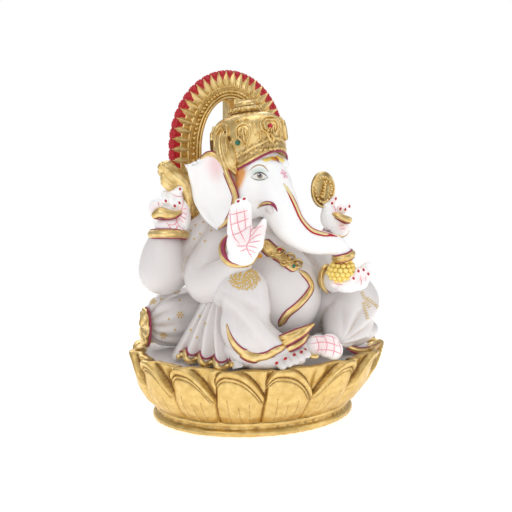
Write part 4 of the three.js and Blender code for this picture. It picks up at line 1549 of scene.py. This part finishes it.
henna(front_hand, [(-9.5, 15.4), (-4, 16.8), (3, 18.6)], [(-9, 9.0), (-3, 11.0), (4, 13.6)],
      [(-8, 2.2), (-2, 4.4), (4.5, 8.6)], [(-8.6, 19), (-8.2, 10), (-6.4, 2), (-2, -3.5)],
      [(-4.4, 20), (-3.6, 10), (-1.4, 3.6), (1.4, -2)], [(0.4, 20), (1.2, 12), (1.6, 6)],
      [(4.9, 9.6), (4.2, 0), (2.2, -4.4), (3.6, -9), (6.2, -13.2)], [(4.4, 1.0), (8.5, 6.0), (13, 9.2)],
      [(4.2, -1), (8, 2.0), (12, 3.4)], [(3.6, -2.4), (8, -1.4), (11.5, -1)],
      [(2.8, -4.4), (7, -5), (10, -6)], [(3, -7), (6, -8), (8.6, -9.6)],
      [(2.4, -4), (-1.8, -4.6), (-4.6, -4.2)], [(2.6, -6), (-0.6, -7.6), (-2.4, -8)],
      [(4.4, 4), (7.6, 8), (9.6, 9.4)], [(3.8, -10), (5.6, -10.2)])
print("henna drawn on the raised hand")

# %% [markdown]
# ## The fist of the axe
# The rear right hand closes round a short gilded handle, so its fingers are curled limbs.

# %% The hand with the axe
axe_hand = hand("right_rear_fist", "right_rear_hand", (-61.5, 11, 148), [
    ((-8.4, 2.5, 0), (7.0, 9.8, 7)), ((9.2, -1, 1), (5.4, 11.8, 7)), ((0.6, -8.0, 2), (11.5, 7.2, 9)),
    ((1, 0, 0), (10, 10, 7)), ((3.4, 14.5, 0), (6.6, 7.4, 5.5)),
    [(-3, 14, 3, 3.4), (-2.6, 10.5, 6.5, 2.8)], [(1, 13, 3, 3.4), (3.4, 7.4, 7, 2.6)],
    [(6.5, 12, 3, 3.2), (6.8, 9, 6, 2.5)], [(4, 16, 2, 3.0), (7.6, 18.2, 3.5, 2.6)]],
    [((10, 2, 6), 11), ((0, -6, 6), 12), ((-10, 4, 6), 8)])
for u, v in ((-2.2, 10.2), (4.0, 6.8), (7.2, 8.8), (7.6, 18.2)):
    nail(axe_hand, u, v, 120)
henna(axe_hand, [(1.4, 15), (5, 13.2), (8.4, 12.8), (9.6, 15.2)],
      [(8.4, 12.8), (9.8, 9.5), (8.8, 5.2), (7.2, 2), (5, -3.8), (7.4, -7.6), (11, -11.4)],
      [(8.6, 2.4), (12.4, 0.2)], [(7.2, 0), (12, -3)], [(6.4, -1.6), (10.2, -5.2)], [(8, 4), (12.2, 4.6)],
      [(-2, -4.6), (1.2, -8.4), (4.2, -11.4), (5.6, -8.4), (3.2, -4.6)], [(-1, -6), (3, -6.4), (6, -4)],
      [(0.6, -9.4), (4.4, -9), (6.6, -6.6)], [(-8, 9.6), (-7, 6.4)], [(-10.6, 0), (-10.8, -3)], width=0.55)
handle_bm, line_bm = bmesh.new(), bmesh.new()
limb(handle_bm, [(*axe_hand.space(u, v, w), r) for u, v, w, r in
                 ((-9.6, 0.2, 7.0, 3.0), (-6, 2.0, 8, 3.9), (-1, 0.8, 8.5, 3.6), (4, 0.6, 8, 2.6),
                  (8.4, 2.6, 7, 1.2))], 0.8)
finish_piece("axe_shaft", fuse(handle_bm, 0.5, 3), GOLD, ["axe_handle"], (6, 0.5))
strip(line_bm, [axe_hand.space(u, v, w) for u, v, w in
                ((-10.6, -2.2, 8.6), (-6, -2.6, 9.2), (0, -2.6, 9.4), (5, -1.4, 9.2), (9, 1.4, 8))], 1.0,
                0.8, 8, 0.2, None,
      up=VIEWER)

# %% [markdown]
# ## The axe
# The blade is a leaf of gold with a curled back, shaped from clay and marked with fine ripples.

# %% The axe
axe_bm = bmesh.new()
axe_board = Patch(None, (-60, 7, 168), (-0.36, -0.93, 0.0))
limb(axe_bm, [(*axe_board.space(u, v, w), r) for u, v, w, r in
              ((-7, 10, -1, 4.5), (-3, 9, 0, 5), (3, 6, 0, 4.2), (7, 0, 0, 3.6), (9.5, -8, 0, 3.0),
               (10.5, -18, 0, 1.4))], 1.0)
ball(axe_bm, axe_board.space(-1, 5, 0), (9.5, 3.8, 9))
ball(axe_bm, axe_board.space(-5, 13, 0), (7, 3.4, 5))
axe_mesh = fuse(axe_bm, 0.6, 4)
axe_across = np.array(axe_board.right)
push(axe_mesh, lambda co: 0.13 * np.sin(((co - np.array(axe_board.at)) @ axe_across * 0.9 + co[:, 2] * 1.1)
                                        * 1.7))
finish_piece("axe_blade", axe_mesh, GOLD, ["axe_head"], (8, 0.5))

# %% [markdown]
# ## The noose
# The rear left hand holds an oval disc with a ring of beads round a small loop. The disc is a
# bevelled cone operator with equal radii, bent a little out of true.

# %% The noose
noose_board = Patch(None, (46.5, -20, 163.5), (-0.35, -0.93, 0.1))
noose_bm = bmesh.new()
NOOSE_WIDE, NOOSE_TALL = 8.6, 13.2  # half its width and half its height
NOOSE_UP = (-0.35, -0.93, 0.1)


def oval_bend(x, y):
    """The oval is a little flatter on its lower outer side."""
    return 1 - 0.16 * (x > 0) * max(0, -y)


for v in bmesh.ops.create_cone(noose_bm, cap_ends=True, segments=64, radius1=1, radius2=1, depth=5)["verts"]:
    x, y, z = v.co
    v.co = noose_board.space(x * NOOSE_WIDE * oval_bend(x, y), y * NOOSE_TALL, z)
bmesh.ops.bevel(noose_bm, geom=noose_bm.edges, offset=0.9, affect="EDGES", segments=3, profile=0.5,
                material=-1)


def oval_place(turn, reach, w=2.4):
    x, y = math.cos(turn) * reach, math.sin(turn) * reach
    return noose_board.space(x * NOOSE_WIDE * oval_bend(x, y), y * NOOSE_TALL, w)


NOOSE_BEADS = 19
for k in range(NOOSE_BEADS):
    beads(noose_bm, [oval_place(2 * math.pi * k / NOOSE_BEADS, 0.70)], 1.35)
strip(noose_bm, [oval_place(2 * math.pi * k / 30, 0.94) for k in range(30)], 1.6, 1.0, 8, 0.0, None,
      closed=True, up=NOOSE_UP)
strip(noose_bm, [oval_place(t, 0.42) for t in (-2.2, -1.6, 1.2, 1.8)], 2.0, 1.6, 8, 0.2, None, up=NOOSE_UP)
for k in range(6):
    beads(noose_bm, [noose_board.space(-1.4 + 0.7 * k, -4.6 + 2.1 * k, 3.0)], 1.2)
finish_piece("noose_shield", mesh_of(noose_bm), GOLD, ["noose"], (4, 0.4), False)

# %% [markdown]
# ## The fist of the noose
# This hand is seen from its side: a round back, a raised first finger, and three that curl round
# the handle.

# %% The hand with the noose
noose_hand = hand("left_rear_fist", "left_rear_hand", (54.5, -25, 144.3), [
    ((-3.6, -1, 0), (7.4, 9.4, 6.5)), ((3, -9, 0), (7.4, 6.5, 6)), ((-6, 6, 0), (4.2, 5.5, 5)),
    ((1, -3, 0), (8, 6, 5)), [(-5, 7, 1, 3.2), (-2.4, 10.8, 2.5, 2.5), (-1.0, 13.2, 3, 2.0)],
    [(1.4, 3.8, 1, 2.8), (3.4, 6.4, 3.5, 2.4)], [(4, 3, 1, 2.6), (6.8, 5.8, 3, 2.3)],
    [(6.2, 3.6, 1, 2.4), (9.4, 7.6, 2.5, 2.1)]], [((2, 6, 5), 9), ((-1, 12, 4), 5), ((5, -8, 5), 8)])
for u, v in ((-2.8, 9.8), (-0.2, 13.0), (3.2, 5.8), (6.8, 5.2), (9.8, 7.4)):
    nail(noose_hand, u, v, 80)
henna(noose_hand, [(-1.4, 8), (0.2, 3.2), (-0.6, -0.6)], [(0.2, 3), (2, 1.2)], [(2, -7), (6, -6.4)],
      [(3, -9), (7, -8.6)], width=0.5)
handle_bm = bmesh.new()
limb(handle_bm, [(*noose_hand.space(u, v, w), r) for u, v, w, r in
                 ((-1.6, 2.0, 6.0, 1.4), (2, 0.2, 7, 2.6), (6, -1.6, 7, 3.0), (9.4, -2.2, 6.5, 2.4))], 0.8)
finish_piece("noose_shaft", fuse(handle_bm, 0.5, 3), GOLD, ["noose_handle"], (6, 0.5))
strip(line_bm, [noose_hand.space(u, v, w) for u, v, w in ((-1, -0.6, 7.4), (3, -3, 9), (7, -4.8, 9),
                                                          (10.6, -4.4, 8))],
      0.9, 0.8, 8, 0.2, None, up=VIEWER)
finish_piece("handle_lines", mesh_of(line_bm), MAROON, (), None)

# %% [markdown]
# ## The open hand
# The front left hand lies open like a dish, with its fingers reaching up behind the sweets.

# %% The hand with the sweets
sweet_hand = hand("left_front_fist", "left_front_hand", (38.6, -66, 104.6), [
    ((-2, -3.6, 0), (10.5, 6.0, 8)), ((-10, -2.6, 1), (4.5, 4, 5)), ((6, -2, 0), (7, 6, 7)),
    [(0, -2, 4, 3.4), (1.6, 2.0, 6.5, 2.7)], [(4, 0, 3, 3.4), (5.2, 6.4, 5.5, 2.7)],
    [(8, 1, 2, 3.2), (9.0, 7.0, 4, 2.6)], [(11, 0, 1, 3.0), (12.2, 4.4, 3, 2.4)],
    [(7, 5, -2, 3.0), (13, 9.4, -2, 2.6)]], [((2, 2, 6), 9), ((9, 4, 5), 10), ((-9, -1, 5), 8)])
for u, v in ((1.8, 2.0), (5.2, 6.8), (8.9, 7.4), (12.3, 4.4)):
    nail(sweet_hand, u, v, 115)
henna(sweet_hand, [(6.8, 4), (7.4, -1), (7, -4)], [(10.6, 3), (11, -1)],
      [(-12, -1.4), (-9, -2.6), (-5, -2.8)], width=0.5)
finish_piece("finger_nails", mesh_of(nails_bm), RED, (), None, False)

# %% [markdown]
# ## The sweets
# A heap of round sweets rises to a point under the trunk. Rings of small balls are stacked on a
# core, each ring turned by half a ball so that they nest.

# %% The heap of sweets
sweets_bm = bmesh.new()
heap = Patch(None, (38.6, -66, 104.6), VIEWER)
rows = [(15.6, 3.6, 7), (12.8, 5.2, 9), (10, 7.0, 12), (7.2, 8.6, 15), (4.4, 9.2, 16), (1.6, 7.8, 14),
        (-0.8, 5.6, 10)]
ball(sweets_bm, heap.space(-5.8, 4.4, 0), (8.2, 8.2, 6.4))
ball(sweets_bm, heap.space(-5.6, 11, 0), (4.6, 4.6, 5.4))
for row, (v, radius, count) in enumerate(rows):
    for k in range(count):
        turn = 2 * math.pi * (k + 0.5 * (row % 2)) / count
        centre = heap.space(-5.8 - 0.12 * (4 - v) + radius * math.sin(turn), v, radius * math.cos(turn))
        bmesh.ops.create_icosphere(sweets_bm, subdivisions=2, radius=1.75, matrix=Matrix.Translation(centre))
finish_piece("sweet_heap", mesh_of(sweets_bm), SWEET, ["sweets"], (4, 0.5), False)

# %% [markdown]
# ## Bracelets
# Each wrist wears a thick gilded ring with two grooves and a maroon line on both sides. A ring
# is three mouldings side by side on a circle. The front left one shows only as a crescent.

# %% Bracelets and the ring on the trunk


def bracelet(name, node, at, axis, radius, tube, tall=1.0, squash=1.0, start=0, end=360):
    """A thick gilded ring with two shallow grooves and a painted line on each side."""
    turn = Vector(axis).to_track_quat("Z", "Y")
    frame_of = Matrix.LocRotScale(Vector(at), turn, Vector((1, squash, 1)))
    whole = end - start >= 360
    steps = 40
    angles = [math.radians(start + (end - start) * k / (steps if whole else steps - 1)) for k in range(steps)]
    gold, lines = bmesh.new(), bmesh.new()

    def around(r, z):
        return [frame_of @ Vector((r * math.cos(t), r * math.sin(t), z)) for t in angles]

    for z, r, size in ((0, 0, 1.0), (-0.62, -0.1, 0.62), (0.62, -0.1, 0.62)):
        strip(gold, around(radius + r, z * tube * tall), tube * 2 * size, tube * size, 10,
              0.0 if whole else 0.35, closed=whole, up=axis)
    for z in (-1.05, 1.05):
        strip(lines, around(radius - 0.2, z * tube * tall), tube * 1.1, 0.6, 8, 0.0 if whole else 0.35,
              closed=whole, up=axis)
    finish_piece(name, mesh_of(gold), GOLD, [node] if node else (), (6, 0.5), False)
    finish_piece(name + "_lines", mesh_of(lines), MAROON, (), None, False)


bracelet("right_rear_bangle", "right_rear_bracelet", (-62.5, 12, 133.5), (0.10, 0.16, 1), 12.0, 2.9)
bracelet("left_rear_bangle", "left_rear_bracelet", (58, -20, 132), (-0.2, -0.1, 1), 8.6, 2.0)
bracelet("right_front_bangle", "right_front_bracelet", (-39.5, -48.5, 128), (-0.35, -0.76, 0.55), 11.0, 2.7)
sight = Sight(None)
cuff_bm, cuff_line_bm = bmesh.new(), bmesh.new()
cuff = [(57.0, -6.2, -28), (52.2, -8.2, -32), (49.6, -13.0, -35), (49.2, -18.6, -36), (51.2, -24.0, -36),
        (54.0, -27.4, -35)]
strip(cuff_bm, [sight(*place) for place in cuff], 4.6, 2.4, 10, 0.4, None, up=VIEWER)
strip(cuff_bm, [sight(u, v, q - 1.4) for u, v, q in cuff], 2.2, 1.8, 10, 0.4, None, up=VIEWER)
strip(cuff_line_bm, [sight(u + 2.3, v, q + 0.5) for u, v, q in cuff], 1.1, 1.4, 8, 0.3, None, up=VIEWER)
finish_piece("left_front_cuff", mesh_of(cuff_bm), GOLD, ["left_front_bracelet"], (6, 0.5), False)
finish_piece("left_front_cuff_line", mesh_of(cuff_line_bm), MAROON, (), None, False)
bracelet("trunk_ring_band", "trunk_ring", (33.5, -65.5, 121), (0.30, -0.08, -1), 6.4, 2.2, 1.1)

# %% [markdown]
# ## The feet
# Five toes with red nails come out from under the hem, and the sole of the other foot is turned
# up, with henna lines and a blush.

# %% The right foot and the left sole
foot_bm = bmesh.new()
limb(foot_bm, [(-34, -60, 56, 8), (-24, -66, 56, 7.5), (-15, -69, 55.5, 6.5), (-6, -72, 55, 4.5)])
for k in range(5):
    x, y = -22 + 4.5 * k, -77.0 - 0.5 * k + 0.4 * abs(k - 2)
    limb(foot_bm, [(x - 1, y + 6, 55.5 + 1.2 * k, 3.3), (x, y, 52.4 + 1.6 * k, 2.7)], 0.8)
toes_mesh = fuse(foot_bm, 0.6, 5)
foot_skin = skin(toes_mesh)
finish_piece("right_foot_toes", toes_mesh, MARBLE, ["right_foot"], (20, 1.0))
foot_sight = Sight(foot_skin)
toe_nails = bmesh.new()
for u, v in ((16.8, -78.2), (23.2, -75.0), (29.6, -72.2), (34.8, -70.2), (38.2, -67.8)):
    foot_sight.disc(toe_nails, (u, v), (1.35, 1.0), 0.25, turn=0.5, segments=12)
finish_piece("toe_nails", mesh_of(toe_nails), RED, (), None, False)

# %% [markdown]
# ## The left sole
# Three flattened balls make the sole. The henna is drawn on a board that faces it.

# %% The left sole
sole_bm = bmesh.new()
sole_board = Patch(None, (14.5, -71, 61), (-0.3, -0.86, 0.4))
ball(sole_bm, sole_board.space(-5, 1, 0), (8.5, 5, 7))
ball(sole_bm, sole_board.space(3, 0, 0), (9, 5, 8.5))
ball(sole_bm, sole_board.space(7, -3, -2), (7, 5, 7))
sole_mesh = fuse(sole_bm, 0.6, 6)
paint(sole_mesh, 0.75 * near(points_of(sole_mesh)[0], sole_board.space(0, 0, 4), (17, 12, 14)),
      (0.96, 0.70, 0.70))
sole_board.surface = skin(sole_mesh)
finish_piece("left_sole", sole_mesh, MARBLE, ["left_foot"], (20, 1.0))
henna(sole_board, [(-10, 5), (0, 6), (9, 3.5)], [(-11, 1), (-1, 1.6), (11, -1.4)],
      [(-8, -3.4), (2, -3.6), (12, -5.8)], [(-7, 6.4), (-5, 0), (-6, -5)], [(-1, 7), (0.6, 0), (-0.6, -6)],
      [(5, 6), (6, -1), (5, -8)], [(9.4, 4), (11, -3), (10.6, -9)])
finish_piece("henna_lines", mesh_of(henna_bm), HENNA, (), None, False)

# %% [markdown]
# ## Gilded trims
# Bands of gold edge the cloth and cross the belly and chest. Each is an outlined moulding: a
# raised gold strip with a wider, lower maroon strip under it, laid on the fused skins.

# %% Trims of the body and the cloth
all_skin = skin(body_form, right_leg_form, left_leg_form)
on_body = Sight(all_skin)
trims, trim_lines = {}, bmesh.new()


def trim(name, nodes, places, width, height=1.6, edge=1.7, **more):
    bm = bmesh.new()
    path = [on_body.point(u, v) for u, v in places]
    outlined(bm, trim_lines, path, width, height, edge, surface=all_skin, **more)
    trims[name] = (bm, nodes)
    return bm


trim("belly_band", ["sacred_thread"], [(33.0, -10.5), (39.1, -15.7), (42.2, -22.3), (39.5, -28.0),
                                       (32.3, -36.0), (24.0, -43.0), (18.5, -51.5)], 4.6)
necklace_bm = trim("necklace_plates", ["necklace"],
                   [(5.5, 11.0), (11.0, 5.4), (18.0, 0.0), (25.5, -5.4), (32.0, -10.0)], 9.0, 1.8)
for u, v, radius in ((9.0, 7.6, 3.0), (18.1, 2.8, 4.0), (25.6, -2.6, 3.8), (31.0, -6.6, 3.4),
                     (13.6, 1.2, 2.6), (22.0, -5.8, 2.6)):
    loop = [on_body.point(u + radius * math.cos(t), v + 0.8 * radius * math.sin(t), 1.5)
            for t in (2 * math.pi * k / 14 for k in range(14))]
    strip(necklace_bm, loop, 1.2, 1.2, 8, 0.0, all_skin, lift=1.4, closed=True)
    beads(necklace_bm, [on_body.point(u, v, 1.8)], 1.3, all_skin, 0.8)
trim("right_hem_band", ["right_hem"], [(-19.5, -50.0), (-16.8, -60.0), (-10.0, -69.0), (-1.0, -74.0),
                                       (8.0, -73.5), (16.5, -69.0), (26.0, -63.5)], 6.6, 2.0, taper=0.5)
print("trims laid on the skins:", ", ".join(trims))

# %% [markdown]
# ## Trims that hang free
# The leaf of the belt, the left hem and the step under the foot bridge gaps between the skins,
# so their places are given with a depth of their own.

# %% The belt and the left hem
belt_bm = bmesh.new()
for places, width in (
    ([(12.5, -67.5, -70), (20.0, -64.5, -71), (28.0, -60.0, -70), (36.0, -55.0, -66), (44.2, -49.5, -60)],
     5.6),
    ([(15.0, -60.0, -69), (22.0, -59.5, -71), (30.0, -56.5, -69), (38.0, -52.0, -64)], 4.4),
    ([(19.0, -70.0, -70), (27.0, -67.0, -70), (34.5, -62.5, -67), (40.0, -57.0, -62)], 4.6),
):
    outlined(belt_bm, trim_lines, [sight(*place) for place in places], width, 2.2, 1.8, taper=0.45,
             up=(-0.45, -0.85, 0.25))
trims["belt_leaf"] = (belt_bm, ["waist_clasp"])
side_bm = bmesh.new()
outlined(side_bm, trim_lines, [sight(*place) for place in
                               ((64.0, -60.5, -32), (68.0, -65.8, -30), (77.0, -69.2, -22),
                                (86.0, -68.0, -10), (93.0, -63.5, 0))],
         4.0, 2.0, 1.8, taper=0.4, up=(0.3, -0.9, 0.3))
trims["left_hem_band"] = (side_bm, ["left_hem"])
step_bm = bmesh.new()
strip(step_bm, [sight(*place) for place in ((40.5, -73.0, -68), (44.0, -73.2, -67), (47.5, -73.0, -66))],
      3.4, 2.0, 10, 0.2, None, up=(-0.3, -0.9, 0.3))
trims["anklet_band"] = (step_bm, ["left_anklet"])
for name, (bm, nodes) in trims.items():
    finish_piece(name, mesh_of(bm), GOLD, nodes, (6, 0.5), False)
finish_piece("trim_lines", mesh_of(trim_lines), MAROON, (), None, False)

# %% [markdown]
# ## Stones of the trims
# Three stones are set in the necklace and the belt, and an orange dot is painted on the chest.

# %% Stones and the dot on the chest
for name, node, u, v, material, slot_name, radius in (
    ("necklace_first_stone", "necklace_red_stone", 18.1, 4.8, RED_GEM, "red_gem", 1.5),
    ("necklace_second_stone", "necklace_green_stone", 28.5, -8.6, GREEN_GEM, "green_gem", 1.5),
    ("belt_stone", "waist_green_stone", 25.2, -60.9, GREEN_GEM, "green_gem", 1.6),
):
    cut_stone(name, node, on_body.point(u, v, 2.4), (-0.5, -0.85, 0.2), radius, material)
chest_dot = bmesh.new()
on_body.disc(chest_dot, (4.6, 0.0), (1.8, 1.8), 0.3)
finish_piece("chest_dot", mesh_of(chest_dot), ORANGE, (), None, False)
